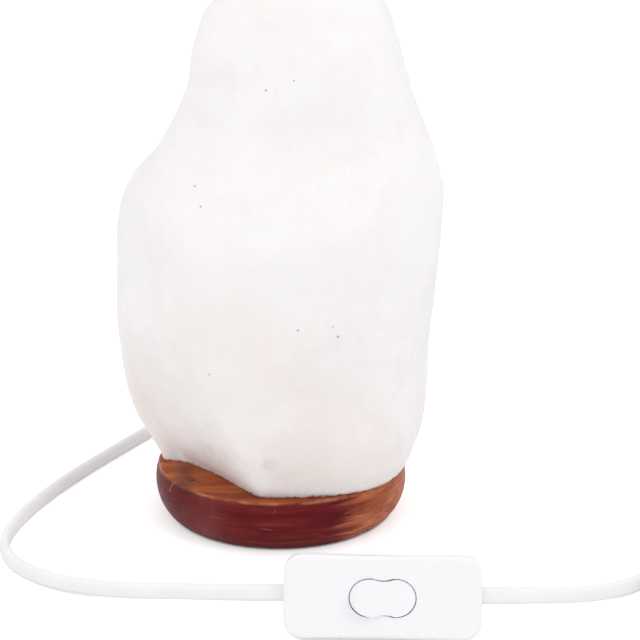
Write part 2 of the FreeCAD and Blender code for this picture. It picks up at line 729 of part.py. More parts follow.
def holder_spring_clips():
    """Band round the holder with three sprung wings that lean out against the bore."""
    low = clip_level() + 0.1
    wide = CLIP_WIDTH * 0.7 - 0.2
    inner = HOLDER_RADIUS - CLIP_THICKNESS + 0.02
    band = cylinder(inner + CLIP_THICKNESS, wide, UP * low).cut(cylinder(inner, wide, UP * low))
    out = BORE_RADIUS - 0.05
    start = inner + CLIP_THICKNESS * 0.4
    thick = CLIP_THICKNESS
    points = (
        (start, low), (start, low + 1.2), (out - 2.2, low + CLIP_RISE - 3), (out - thick, low + CLIP_RISE),
        (out - 2.8, low + CLIP_RISE + 4), (out - 2.8 + thick, low + CLIP_RISE + 4),
        (out, low + CLIP_RISE), (out - 2.2 + thick, low + CLIP_RISE - 3), (start + thick * 1.5, low))
    outline = [Vector(radius, -CLIP_WIDTH / 2, height) for radius, height in points]
    wing = Part.Face(Part.makePolygon(outline + [outline[0]])).extrude(BACK * CLIP_WIDTH)
    wing = wing.common(cylinder(BORE_RADIUS - 0.02, 60, UP * low))
    wing = wing.cut(cylinder(inner, 60, UP * (low - 1)))
    for turn in CLIP_ANGLES:
        band = band.fuse(wing.rotated(ORIGIN, UP, turn))
    return band.removeSplitter()


# ================================================================ bulb
def cap_bottom():
    return bulb_seat() + 2.6


def bulb_cap():
    cap = threaded_tube(BULB_CAP_RADIUS, BULB_CAP_WALL, BULB_CAP_LENGTH, THREAD_PITCH, THREAD_DEPTH)
    return cap.translated(UP * cap_bottom())


def bulb_insulator():
    low = bulb_seat() + 1.0
    top = cap_bottom()
    inner = BULB_CAP_RADIUS - BULB_CAP_WALL - 0.05
    return turned((CONTACT_BUTTON_RADIUS - 1.0, low), (CONTACT_BUTTON_RADIUS + 0.6, low),
                  (inner, top), (inner, top + 1.2), (CONTACT_BUTTON_RADIUS - 1.0, top + 1.2))


def bulb_contact():
    low = bulb_seat()
    neck = CONTACT_BUTTON_RADIUS - 1.0
    return turned((0, low), (neck, low), (CONTACT_BUTTON_RADIUS, low + 0.5),
                  (CONTACT_BUTTON_RADIUS, low + 1.0), (neck, low + 1.0), (neck, cap_bottom() + 1.2),
                  (0, cap_bottom() + 1.2))


def glass_bottom():
    return cap_bottom() + BULB_CAP_LENGTH - 6.0


def glass_outline(offset):
    """Half outline of the pear-shaped bulb, moved inwards by an offset."""
    low = glass_bottom()
    neck_radius = BULB_CAP_RADIUS - THREAD_DEPTH - BULB_CAP_WALL - 0.05 - offset
    widest = low + BULB_LENGTH - BULB_RADIUS
    neck = Vector(neck_radius, 0, low + offset)
    throat = Vector(neck_radius, 0, low + 7.0)
    belly = Vector(BULB_RADIUS - offset, 0, widest)
    crown = Vector(0, 0, widest + BULB_RADIUS - offset)
    shoulder = Vector((BULB_RADIUS - offset) * math.cos(math.pi / 4), 0,
                      widest + (BULB_RADIUS - offset) * math.sin(math.pi / 4))
    flare = Part.BezierCurve()
    flare.setPoles([throat, throat + UP * 5, belly - UP * 7, belly])
    return neck, [
        Part.LineSegment(neck, throat).toShape(),
        flare.toShape(),
        Part.Arc(belly, shoulder, crown).toShape(),
    ], crown


def bulb_glass():
    outer_start, outer, outer_crown = glass_outline(0)
    inner_start, inner, inner_crown = glass_outline(BULB_GLASS_WALL)
    outer_foot = Vector(0, 0, outer_start.z)
    inner_foot = Vector(0, 0, inner_start.z)
    solid = Part.Face(Part.Wire([Part.LineSegment(outer_foot, outer_start).toShape()] + outer
                                + [Part.LineSegment(outer_crown, outer_foot).toShape()]))
    hollow = Part.Face(Part.Wire([Part.LineSegment(inner_foot, inner_start).toShape()] + inner
                                 + [Part.LineSegment(inner_crown, inner_foot).toShape()]))
    glass = solid.revolve(ORIGIN, UP, 360).cut(hollow.revolve(ORIGIN, UP, 360))
    return glass.cut(cylinder(STEM_GLASS_RADIUS, 2, UP * (outer_start.z - 0.5)))


def bulb_stem():
    """Glass tube sealed into the neck, pinched flat where the wires pass through."""
    low = glass_bottom()
    tube = turned((0, low), (STEM_GLASS_RADIUS - 0.02, low), (STEM_GLASS_RADIUS - 0.02, low + 8),
                  (1.6, low + 12), (1.6, low + STEM_HEIGHT), (0, low + STEM_HEIGHT))
    for side in (-1, 1):
        tube = tube.cut(cylinder(LEAD_RADIUS, STEM_HEIGHT + 2, Vector(side * 1.0, 0, low - 1)))
    return tube


def bulb_lead_wires():
    low = glass_bottom() + 1.0
    bend = glass_bottom() + STEM_HEIGHT + 3.0
    pair = []
    for side in (-1, 1):
        pair.append(round_wire((
            (side * 1.0, 0, low), (side * 1.0, 0, bend),
            (side * LEAD_SPREAD, 0, bend + 3.0), (side * LEAD_SPREAD, 0, bend + 5.5)),
            LEAD_RADIUS - 0.01))
    return pair


def bulb_filament():
    """Coiled filament hung in an arch between the wires."""
    level = glass_bottom() + STEM_HEIGHT + 3.0 + 5.5 + 0.25
    arch = Part.Arc(Vector(-LEAD_SPREAD - 0.3, 0, level), Vector(0, 0, level + 2.2),
                    Vector(LEAD_SPREAD + 0.3, 0, level))
    wire = Part.Wire(arch.toShape())
    tangent = arch.tangent(arch.FirstParameter)[0]
    circle = Part.Wire(Part.makeCircle(0.3, arch.StartPoint, tangent))
    return wire.makePipeShell([circle], True, False)


# ================================================================ in-line switch
# The switch is made lying face up: X along it, Y across its face, Z out of its face, and its face
# at z = 0. It is then stood on its long side.
def switch_placement():
    """Lying on the drafted long side, so that the face leans back by the draft."""
    lean = math.radians(SWITCH_DRAFT)
    height = SWITCH_HEIGHT / 2 * math.cos(lean) + SWITCH_FRONT_DEPTH * math.sin(lean)
    turn = Rotation(UP, SWITCH_YAW).multiply(Rotation(RIGHT, 90 - SWITCH_DRAFT))
    return Placement(Vector(SWITCH_MIDDLE_X, SWITCH_MIDDLE_Y, height), turn)


def in_place(shapes):
    placement = switch_placement()
    placed = []
    for shape in shapes if isinstance(shapes, list) else [shapes]:
        copy = shape.copy()
        copy.transformShape(placement.toMatrix(), True)
        placed.append(copy)
    return placed


def switch_outline(length, height, level):
    """Four-sided outline with hollow long sides."""
    x, y = length / 2, height / 2
    corners = [Vector(x, y, level), Vector(-x, y, level), Vector(-x, -y, level), Vector(x, -y, level)]
    waist = [Vector(0, y - SWITCH_WAIST, level), Vector(0, -y + SWITCH_WAIST, level)]
    return Part.Wire([
        Part.Arc(corners[0], waist[0], corners[1]).toShape(),
        Part.LineSegment(corners[1], corners[2]).toShape(),
        Part.Arc(corners[2], waist[1], corners[3]).toShape(),
        Part.LineSegment(corners[3], corners[0]).toShape(),
    ])


def rise_edges(shape):
    """Edges that run from one level to another."""
    return [edge for edge in shape.Edges
            if abs(edge.Vertexes[0].Point.z - edge.Vertexes[-1].Point.z) > 2.0]


def front_block(inset):
    """Front shell's outline as a block, from the parting plane to the face."""
    outline = switch_outline(SWITCH_LENGTH - 2 * inset, SWITCH_HEIGHT - 2 * inset, -SWITCH_FRONT_DEPTH)
    depth = SWITCH_FRONT_DEPTH - inset
    block = Part.Face(outline).extrude(UP * depth)
    return block.makeFillet(SWITCH_CORNER - inset, rise_edges(block))


def rear_block(inset):
    """Rear shell's tapered block, from its floor to the parting plane."""
    depth = SWITCH_REAR_DEPTH - inset
    narrow = 2 * depth * math.tan(math.radians(SWITCH_DRAFT))
    shorten = 2 * depth * math.tan(math.radians(SWITCH_END_DRAFT))
    length, height = SWITCH_LENGTH - 2 * inset, SWITCH_HEIGHT - 2 * inset
    low = switch_outline(length - shorten, height - narrow, -SWITCH_FRONT_DEPTH - depth)
    high = switch_outline(length, height, -SWITCH_FRONT_DEPTH)
    block = Part.makeLoft([low, high], True, True)
    return block.makeFillet(SWITCH_CORNER - inset, rise_edges(block))


def end_radius():
    """Radius of the rocker's ends about its pivot."""
    return math.hypot(ROCKER_LENGTH / 2, ROCKER_PIVOT_DEPTH)


def rocker_drum(grow):
    """Round-ended drum about the pivot, hollow at its sides. The opening is the same drum, grown."""
    middle, reach, half = rocker_pivot(), end_radius() + grow, ROCKER_WIDTH / 2 + grow
    side_reach = math.hypot(ROCKER_END_START, ROCKER_PIVOT_DEPTH)
    end = Part.Arc(middle + Vector(side_reach, -half, 0), middle + Vector(reach, 0, 0),
                   middle + Vector(side_reach, half, 0)).toShape()
    back = Part.makePolygon([middle + Vector(side_reach, half, 0), middle + Vector(0, half, 0),
                             middle + Vector(0, -half, 0), middle + Vector(side_reach, -half, 0)])
    drum = Part.Face(Part.Wire([end] + back.Edges)).revolve(middle, BACK, 360)
    waist_y = ROCKER_WIDTH / 2 - ROCKER_WAIST + ROCKER_WAIST_RADIUS
    for side in (-1, 1):
        hollow = cylinder(ROCKER_WAIST_RADIUS - grow, 4 * reach, Vector(0, side * waist_y, -2 * reach))
        drum = drum.cut(hollow)
    return drum


def case_screw_places():
    return (Vector(-CASE_SCREW_X, CASE_SCREW_Y, 0), Vector(CASE_SCREW_X, CASE_SCREW_Y, 0))


def clamp_screw_places():
    return [Vector(x, y, 0) for x in (-CLAMP_X, CLAMP_X) for y in (-CLAMP_SCREW_Y, CLAMP_SCREW_Y)]


def switch_front_shell():
    shell = front_block(0)
    face_edges = [edge for edge in shell.Edges
                  if all(abs(vertex.Point.z) < 1e-6 for vertex in edge.Vertexes)]
    shell = shell.makeFillet(SWITCH_EDGE, face_edges)
    shell = shell.cut(front_block(SWITCH_WALL))
    shell = shell.cut(rocker_drum(CLEAR))
    bearing_inner = ROCKER_WIDTH / 2 + CLEAR
    for side in (-1, 1):
        cheek = box(6.0, TRUNNION_LENGTH, SWITCH_FRONT_DEPTH - 0.8,
                    Vector(0, side * (bearing_inner + TRUNNION_LENGTH / 2),
                           -(SWITCH_FRONT_DEPTH + 0.8) / 2))
        shell = shell.fuse(cheek)
    pivot = cylinder(TRUNNION_RADIUS + RUNNING, 2 * (bearing_inner + TRUNNION_LENGTH + 1),
                     Vector(0, -(bearing_inner + TRUNNION_LENGTH + 1), -ROCKER_PIVOT_DEPTH), BACK)
    shell = shell.cut(pivot.common(box(10, 2 * (bearing_inner + TRUNNION_LENGTH), 10,
                                       Vector(0, 0, -ROCKER_PIVOT_DEPTH))))
    for place in case_screw_places():
        post = cylinder(2.4, SWITCH_FRONT_DEPTH - 1, place - UP * SWITCH_FRONT_DEPTH)
        hole = cylinder(SMALL_SCREW, SWITCH_FRONT_DEPTH - 1.5, place - UP * (SWITCH_FRONT_DEPTH))
        shell = shell.fuse(post).cut(hole)
    return shell.removeSplitter()


def floor_level():
    return -SWITCH_FRONT_DEPTH - SWITCH_REAR_DEPTH + SWITCH_WALL


def clamp_low():
    return -CORD_BEHIND_FACE + CORD_THICKNESS / 2


def switch_rear_shell():
    shell = rear_block(0).cut(rear_block(SWITCH_WALL))
    notch_low = -CORD_BEHIND_FACE - CORD_THICKNESS / 2 - 0.1
    for side in (-1, 1):
        notch = box(6.0, CORD_WIDTH + 0.2, -SWITCH_FRONT_DEPTH - notch_low + 2,
                    Vector(side * SWITCH_LENGTH / 2, 0, (notch_low - SWITCH_FRONT_DEPTH + 2) / 2))
        shell = shell.cut(notch)
        height = notch_low + 0.1 - floor_level() + 0.2
        rib = box(CLAMP_LENGTH, 2 * CLAMP_SCREW_Y + 4, height,
                  Vector(side * CLAMP_X, 0, floor_level() - 0.2 + height / 2))
        shell = shell.fuse(rib.common(rear_block(SWITCH_WALL / 2)))
    for place in case_screw_places():
        low = -SWITCH_FRONT_DEPTH - SWITCH_REAR_DEPTH
        post = cylinder(2.4, SWITCH_REAR_DEPTH, place + UP * low).common(rear_block(SWITCH_WALL / 2))
        shell = shell.fuse(post)
        shell = shell.cut(cylinder(SMALL_SCREW, SWITCH_REAR_DEPTH, place + UP * low))
        shell = shell.cut(cylinder(SMALL_SCREW * 2 + 0.1, 2.5, place + UP * low))
    for place in clamp_screw_places():
        top = notch_low + 0.1
        shell = shell.cut(cylinder(SMALL_SCREW, 4.5, place + UP * (top - 4.5)))
    return shell.removeSplitter()


def tilted(shape, degrees, pivot):
    """Turned about the switch's own Y axis through a pivot."""
    return shape.rotated(pivot, BACK, degrees)


def rocker_pivot():
    return Vector(0, 0, -ROCKER_PIVOT_DEPTH)


def switch_rocker():
    """Saddle-topped rocker with hollow underside, trunnions and a bored stem."""
    pivot = rocker_pivot()
    low = pivot.z - ROCKER_SKIRT
    end_high = math.sqrt(end_radius() ** 2 - (ROCKER_RISE - pivot.z) ** 2)
    saddle_radius = (end_high ** 2 + ROCKER_DIP ** 2) / (2 * ROCKER_DIP)
    saddle_middle = Vector(0, -ROCKER_WIDTH, ROCKER_RISE - ROCKER_DIP + saddle_radius)
    block = rocker_drum(0).cut(cylinder(saddle_radius, 2 * ROCKER_WIDTH, saddle_middle, BACK))
    depth = 2 * end_radius()
    block = block.cut(box(depth, depth, depth, Vector(0, 0, low - depth / 2)))
    cavity_top = ROCKER_RISE - ROCKER_DIP - ROCKER_SKIN
    half = ROCKER_WIDTH / 2 - ROCKER_SKIN
    cavity = box(2 * ROCKER_END_START, 2 * half, cavity_top - low, Vector(0, 0, (cavity_top + low) / 2))
    for side in (-1, 1):
        end = cylinder(half, cavity_top - low, Vector(side * (ROCKER_END_START - ROCKER_SKIN / 2), 0, low))
        cavity = cavity.fuse(end)
    waist_wall = rocker_drum(-ROCKER_SKIN / 2)
    block = block.cut(cavity.common(waist_wall))
    stem_length = STEM_DEPTH + cavity_top - pivot.z + 0.4
    block = block.fuse(cylinder(STEM_RADIUS, stem_length, pivot - UP * STEM_DEPTH))
    length = ROCKER_WIDTH + 2 * (TRUNNION_LENGTH + CLEAR - 0.1)
    block = block.fuse(cylinder(TRUNNION_RADIUS, length, pivot - BACK * (length / 2), BACK))
    block = block.cut(cylinder(PLUNGER_RADIUS + RUNNING, STEM_DEPTH + 1.0, pivot - UP * STEM_DEPTH))
    return tilted(block.removeSplitter(), ROCKER_TILT, pivot)


def switch_plunger():
    """Cap on the spring, with a round tip that drives the lever."""
    tip = -ROCKER_PIVOT_DEPTH - PLUNGER_REACH
    cap = turned((0, tip), (PLUNGER_RADIUS * 0.6, tip), (PLUNGER_RADIUS, tip + 0.7),
                 (PLUNGER_RADIUS, tip + 4.0), (0, tip + 4.0))
    return tilted(cap, ROCKER_TILT, rocker_pivot())


def switch_spring():
    """Compression spring between the plunger and the end of the stem's bore."""
    low = -ROCKER_PIVOT_DEPTH - PLUNGER_REACH + 4.0
    length = PLUNGER_REACH - 4.0 + 1.0
    mean = PLUNGER_RADIUS - SPRING_WIRE - 0.05
    turns = 4
    helix = Part.makeHelix(length / turns, length - 2 * SPRING_WIRE, mean)
    circle = Part.Wire(Part.makeCircle(SPRING_WIRE, Vector(mean, 0, 0), BACK))
    coil = Part.Wire(helix.Edges).makePipeShell([circle], True, True)
    coil.translate(UP * (low + SPRING_WIRE))
    return tilted(coil, ROCKER_TILT, rocker_pivot())


def lever_top():
    return -ROCKER_PIVOT_DEPTH - PLUNGER_REACH - 0.2


def lever_pivot():
    return Vector(0, 0, lever_top() - LEVER_THICKNESS)


def switch_contact_lever():
    """Brass seesaw with a contact rivet at its right end."""
    plate = box(LEVER_LENGTH, LEVER_WIDTH, LEVER_THICKNESS,
                Vector(0, 0, lever_top() - LEVER_THICKNESS / 2))
    rivet_x = LEVER_LENGTH / 2 - 2.0
    rivet = cylinder(1.4, 0.7, Vector(rivet_x, 0, lever_top() - LEVER_THICKNESS - 0.7))
    groove = cylinder(KNIFE_RADIUS + RUNNING, 2 * LEVER_WIDTH, lever_pivot() - BACK * LEVER_WIDTH, BACK)
    return tilted(plate.fuse(rivet).cut(groove), -LEVER_TILT, lever_pivot())


def terminal_block(side):
    block = box(TERMINAL_SIZE, TERMINAL_SIZE, TERMINAL_HEIGHT,
                Vector(side * TERMINAL_X, TERMINAL_Y, floor_level() + TERMINAL_HEIGHT / 2))
    wire_hole = cylinder(CORE_RADIUS + 0.2, 4.0,
                         Vector(side * (TERMINAL_X + TERMINAL_SIZE / 2), TERMINAL_Y,
                                floor_level() + TERMINAL_HOLE_HEIGHT), RIGHT * -side)
    screw_hole = cylinder(SMALL_SCREW, TERMINAL_HEIGHT - TERMINAL_HOLE_HEIGHT,
                          Vector(side * TERMINAL_X, TERMINAL_Y, floor_level() + TERMINAL_HOLE_HEIGHT))
    return block.cut(wire_hole).cut(screw_hole)


def switch_pivot_terminal():
    """Left clamp with a strip to the middle, where a fold with a round ridge carries the lever."""
    strip_y = TERMINAL_Y
    strip = box(TERMINAL_X, 1.6, 0.8,
                Vector(1.0 - TERMINAL_X / 2, strip_y + 1.4, floor_level() + 0.4))
    cross = box(2 * KNIFE_FOOT, -strip_y + LEVER_WIDTH / 2, 0.8,
                Vector(0, (strip_y + LEVER_WIDTH / 2) / 2, floor_level() + 0.4))
    side = -LEVER_WIDTH / 2
    outline = [Vector(-KNIFE_FOOT, side, floor_level()), Vector(KNIFE_FOOT, side, floor_level()),
               Vector(0.9 * KNIFE_RADIUS, side, lever_pivot().z),
               Vector(-0.9 * KNIFE_RADIUS, side, lever_pivot().z)]
    fold = Part.Face(Part.makePolygon(outline + [outline[0]])).extrude(BACK * LEVER_WIDTH)
    ridge = cylinder(KNIFE_RADIUS, LEVER_WIDTH, lever_pivot() + BACK * side, BACK)
    return terminal_block(-1).fuse(strip).fuse(cross).fuse(fold).fuse(ridge).removeSplitter()


def fixed_contact_top():
    """Just under the rivet when the lever's right end is down."""
    rivet = Vector(LEVER_LENGTH / 2 - 2.0 + 1.4, 0, lever_top() - LEVER_THICKNESS - 0.7)
    swing = Rotation(BACK, LEVER_TILT)
    return (lever_pivot() + swing.multVec(rivet - lever_pivot())).z - 0.12


def switch_fixed_terminal():
    """Right clamp with a strip that ends in the fixed contact under the lever."""
    contact_x = LEVER_LENGTH / 2 - 2.0
    height = max(fixed_contact_top() - floor_level(), 0.9)
    pad = cylinder(1.5, height, Vector(contact_x, 0, floor_level()))
    foot = box(3.4, -TERMINAL_Y + 1.6, 0.8,
               Vector(contact_x, TERMINAL_Y / 2 + 0.8, floor_level() + 0.4))
    strip = box(TERMINAL_X - contact_x, 1.6, 0.8,
                Vector((TERMINAL_X + contact_x) / 2, TERMINAL_Y + 1.4, floor_level() + 0.4))
    return terminal_block(1).fuse(pad).fuse(foot).fuse(strip).removeSplitter()


def switch_terminal_screws():
    pair = []
    for side in (-1, 1):
        length = TERMINAL_SCREW_RISE + TERMINAL_HEIGHT - TERMINAL_HOLE_HEIGHT - WIRE_RADIUS - 0.05
        one = screw(SMALL_SCREW - 0.01, 1.9, 1.0, length, slot=0.5)
        one.rotate(ORIGIN, RIGHT, 180)
        one.translate(Vector(side * TERMINAL_X, TERMINAL_Y,
                             floor_level() + TERMINAL_HEIGHT + TERMINAL_SCREW_RISE))
        pair.append(one)
    return pair


def cord_end_x():
    """Where the sheath ends inside the switch, from its middle."""
    return SWITCH_LENGTH / 2 - CORD_IN_SWITCH


def switch_live_wires():
    """The live core of each lead, into its clamp."""
    level = floor_level() + TERMINAL_HOLE_HEIGHT
    inside = TERMINAL_X + TERMINAL_SIZE / 2
    pair = []
    for side in (-1, 1):
        pair.append(round_wire((
            (side * cord_end_x(), -CORE_SPREAD, -CORD_BEHIND_FACE),
            (side * (cord_end_x() - 2.6), -CORE_SPREAD, -CORD_BEHIND_FACE),
            (side * (inside + 2.4), TERMINAL_Y, level),
            (side * (inside - 3.4), TERMINAL_Y, level),
        ), WIRE_RADIUS))
    return pair


def switch_neutral_wire():
    """The other core, which runs through the switch beside the lever."""
    end = cord_end_x()
    low = floor_level() + CORE_RADIUS + 0.3
    level = -CORD_BEHIND_FACE
    return round_wire((
        (-end, CORE_SPREAD, level), (-end + 2.6, CORE_SPREAD, level), (-end + 8, 3.6, low + 1.5),
        (-end + 14, 3.7, low), (end - 14, 3.7, low + 0.05), (end - 8, 3.6, low + 1.5),
        (end - 2.6, CORE_SPREAD, level), (end, CORE_SPREAD, level)), WIRE_RADIUS)


def switch_cord_clamps():
    pair = []
    for side in (-1, 1):
        bar = box(CLAMP_LENGTH, 2 * CLAMP_SCREW_Y + 4, CLAMP_THICKNESS,
                  Vector(side * CLAMP_X, 0, clamp_low() + CLAMP_THICKNESS / 2))
        bar = bar.makeFillet(0.6, [e for e in bar.Edges if abs(e.tangentAt(0).x) > 0.9
                                   and e.Vertexes[0].Point.z > clamp_low() + 1])
        for across in (-1, 1):
            bar = bar.cut(cylinder(SMALL_SCREW, 8, Vector(side * CLAMP_X, across * CLAMP_SCREW_Y, -10)))
        pair.append(bar)
    return pair


def switch_clamp_screws():
    group = []
    for place in clamp_screw_places():
        one = screw(SMALL_SCREW - 0.01, 1.8, 0.9, 8.6, slot=0.5)
        one.rotate(ORIGIN, RIGHT, 180)
        one.translate(place + UP * (clamp_low() + CLAMP_THICKNESS + 0.9))
        group.append(one)
    return group


def switch_case_screws():
    low = -SWITCH_FRONT_DEPTH - SWITCH_REAR_DEPTH
    group = []
    for place in case_screw_places():
        one = screw(SMALL_SCREW - 0.01, SMALL_SCREW * 2, 1.2, 13.0, slot=0.5)
        one.translate(place + UP * (low + 1.3))
        group.append(one)
    return group


def switch_mouth(side):
    """Point, outward direction and wide direction of the lead at one end of the switch."""
    placement = switch_placement()
    point = placement.multVec(Vector(side * SWITCH_LENGTH / 2, 0, -CORD_BEHIND_FACE))
    outward = placement.Rotation.multVec(RIGHT * side)
    wide = placement.Rotation.multVec(BACK)
    return point, outward, wide


def cord_to_switch():
    """From the base, round the left of the lamp, into the left end of the switch."""
    free = cord_along("cord_to_switch", ROUTE_TO_SWITCH)
    last, before = Vector(*ROUTE_TO_SWITCH[-1]), Vector(*ROUTE_TO_SWITCH[-2])
    point, outward, wide = switch_mouth(-1)
    rise = twisted_cord(last, (last - before).normalize(), wide_at(free, last), point, outward * -1, wide)
    end = straight_cord(point, outward * -1, wide, CORD_IN_SWITCH)
    return cord_exit().fuse([free, rise, end])


def cord_to_coil():
    """From the right end of the switch to the outside of the coil."""
    point, outward, wide = switch_mouth(1)
    first, second = Vector(*ROUTE_TO_COIL[0]), Vector(*ROUTE_TO_COIL[1])
    fall = twisted_cord(point, outward, wide, first, (second - first).normalize(), UP)
    end = straight_cord(point, outward * -1, wide, CORD_IN_SWITCH)
    free = cord_along("cord_to_coil", ROUTE_TO_COIL)
    whole = end.fuse([fall, free]).cut(cord_coil())
    return max(whole.Solids, key=lambda solid: solid.Volume)


# ================================================================ coil and plug
def coil_outer():
    return COIL_INNER + COIL_TURNS_ACROSS * (CORD_THICKNESS + 0.1) + 0.4


def coil_height():
    return COIL_LAYERS * (CORD_WIDTH + 0.1)


def cord_coil():
    """The rest of the lead as one ring of its outer shape."""
    ring = cylinder(coil_outer(), coil_height(), COIL_CENTRE).cut(
        cylinder(COIL_INNER, coil_height(), COIL_CENTRE))
    return ring.makeFillet(COIL_ROUND, ring.Edges[0:1] + [e for e in ring.Edges[1:] if e.Closed])


def coil_tie():
    """Strap round the bundle of turns, with its twisted tails on top."""
    middle = (coil_outer() + COIL_INNER) / 2
    across = coil_outer() - COIL_INNER
    gap = 0.15
    outer = box(across + 2 * (gap + TIE_THICKNESS), TIE_WIDTH, coil_height() + gap + TIE_THICKNESS,
                Vector(middle, 0, (coil_height() + gap + TIE_THICKNESS) / 2))
    inner = box(across + 2 * gap, TIE_WIDTH + 2, coil_height() + gap - 0.8,
                Vector(middle, 0, (coil_height() + gap) / 2 + 0.4))
    band = outer.makeFillet(1.6, [e for e in outer.Edges if abs(e.tangentAt(0).y) > 0.9])
    band = band.cut(inner.makeFillet(1.2, [e for e in inner.Edges if abs(e.tangentAt(0).y) > 0.9]))
    knot = box(5.0, TIE_WIDTH, 2.0, Vector(middle, 0, coil_height() + gap + TIE_THICKNESS + 0.6))
    band = band.fuse(knot.makeFillet(0.7, knot.Edges))
    band.rotate(ORIGIN, UP, TIE_ANGLE)
    band.translate(COIL_CENTRE)
    return band.cut(cord_coil())


def cord_tail():
    free = cord_along("cord_tail", ROUTE_TO_PLUG)
    whole = free.cut(cord_coil()).cut(plug_body())
    return max(whole.Solids, key=lambda solid: solid.Volume)


def plug_rear():
    """Middle of the end of the plug's strain relief, where the lead goes in."""
    return Vector(*ROUTE_TO_PLUG[-1])


def plug_face():
    return plug_rear() - BACK * (RELIEF_LENGTH + PLUG_LENGTH)


def plug_section(half_width, half_height, flat, y):
    """Six-sided section of the plug's body, in the plane across its length."""
    points = [Vector(half_width, y, 0), Vector(flat, y, half_height), Vector(-flat, y, half_height),
              Vector(-half_width, y, 0), Vector(-flat, y, -half_height), Vector(flat, y, -half_height)]
    return Part.makePolygon(points + [points[0]])


def plug_body():
    """Moulded flat body, drawn in to a ribbed strain relief."""
    half_width, half_height = PLUG_WIDTH / 2, PLUG_THICKNESS / 2
    body = Part.makeLoft([
        plug_section(half_width - 0.6, half_height - 0.6, 10.4, 0),
        plug_section(half_width, half_height, 11.0, 0.8),
        plug_section(half_width, half_height, 11.0, 9.0),
        plug_section(PLUG_TAPER_WIDTH / 2 + 3.5, half_height * 0.98, 7.4, 21.0),
        plug_section(PLUG_TAPER_WIDTH / 2, half_height * 0.8, 4.6, 31.0),
        plug_section(5.4, half_height * 0.62, 2.8, PLUG_LENGTH),
    ], True, True)
    relief = Part.makeCone(RELIEF_RADIUS, RELIEF_END_RADIUS, RELIEF_LENGTH, BACK * PLUG_LENGTH, BACK)
    for groove in range(RELIEF_GROOVES):
        at = BACK * (PLUG_LENGTH + 2.2 + groove * 2.8)
        cut = cylinder(RELIEF_RADIUS + 1, 1.0, at, BACK).cut(
            cylinder(RELIEF_RADIUS - 1.0 - groove * 0.12, 1.0, at, BACK))
        relief = relief.cut(cut)
    body = body.fuse(relief)
    body.translate(plug_face())
    for pin in plug_pins():
        body = body.cut(pin)
    return body


def at_pins(solid):
    """A solid made along Z from the plug's face, set at each pin and turned to point out of the plug."""
    pair = []
    for side in (-1, 1):
        copy = solid.copy()
        copy.rotate(ORIGIN, RIGHT, 90)
        copy.translate(plug_face() + RIGHT * (side * PIN_SPACING / 2))
        pair.append(copy)
    return pair


def plug_pins():
    """Round pins with a thin shank: a collar holds it in the moulding, and the sleeve covers it outside."""
    return at_pins(turned(
        (0, -PIN_IN_BODY), (PIN_SHANK_RADIUS, -PIN_IN_BODY), (PIN_SHANK_RADIUS, -PIN_COLLAR_DEPTH),
        (PIN_COLLAR_RADIUS, -PIN_COLLAR_DEPTH), (PIN_COLLAR_RADIUS, 1.2 - PIN_COLLAR_DEPTH),
        (PIN_SHANK_RADIUS, 1.2 - PIN_COLLAR_DEPTH), (PIN_SHANK_RADIUS, SLEEVE_LENGTH),
        (PIN_RADIUS, SLEEVE_LENGTH), (PIN_RADIUS, PIN_LENGTH - 1.4), (1.2, PIN_LENGTH), (0, PIN_LENGTH)))


def plug_pin_sleeves():
    return at_pins(turned((PIN_SHANK_RADIUS, 0), (SLEEVE_RADIUS, 0), (SLEEVE_RADIUS, SLEEVE_LENGTH),
                          (PIN_SHANK_RADIUS, SLEEVE_LENGTH)))


# ================================================================ build
PARTS = {
    "salt_crystal": salt_crystal,
    "wooden_base": wooden_base,
    "base_feet": base_feet,
    "base_screws": base_screws,
    "screw_plugs": screw_plugs,
    "cord_inside": cord_inside,
    "cord_saddle": cord_saddle,
    "cord_saddle_screws": cord_saddle_screws,
    "holder_cap": holder_cap,
    "holder_body": holder_body,
    "holder_shell": holder_shell,
    "holder_centre_contact": holder_centre_contact,
    "holder_terminals": holder_terminals,
    "holder_terminal_screws": holder_terminal_screws,
    "holder_wires": holder_wires,
    "holder_spring_clips": holder_spring_clips,
    "bulb_cap": bulb_cap,
    "bulb_insulator": bulb_insulator,
    "bulb_contact": bulb_contact,
    "bulb_glass": bulb_glass,
    "bulb_stem": bulb_stem,
    "bulb_lead_wires": bulb_lead_wires,
    "bulb_filament": bulb_filament,
    "cord_to_switch": cord_to_switch,
    "switch_front_shell": lambda: in_place(switch_front_shell()),
    "switch_rear_shell": lambda: in_place(switch_rear_shell()),
    "switch_rocker": lambda: in_place(switch_rocker()),
    "switch_plunger": lambda: in_place(switch_plunger()),
    "switch_spring": lambda: in_place(switch_spring()),
    "switch_contact_lever": lambda: in_place(switch_contact_lever()),
    "switch_pivot_terminal": lambda: in_place(switch_pivot_terminal()),
    "switch_fixed_terminal": lambda: in_place(switch_fixed_terminal()),
    "switch_terminal_screws": lambda: in_place(switch_terminal_screws()),
    "switch_live_wires": lambda: in_place(switch_live_wires()),
    "switch_neutral_wire": lambda: in_place(switch_neutral_wire()),
    "switch_cord_clamps": lambda: in_place(switch_cord_clamps()),
    "switch_clamp_screws": lambda: in_place(switch_clamp_screws()),
    "switch_case_screws": lambda: in_place(switch_case_screws()),
    "cord_to_coil": cord_to_coil,
    "cord_coil": cord_coil,
    "coil_tie": coil_tie,
    "cord_tail": cord_tail,
    "plug_body": plug_body,
    "plug_pins": plug_pins,
    "plug_pin_sleeves": plug_pin_sleeves,
}


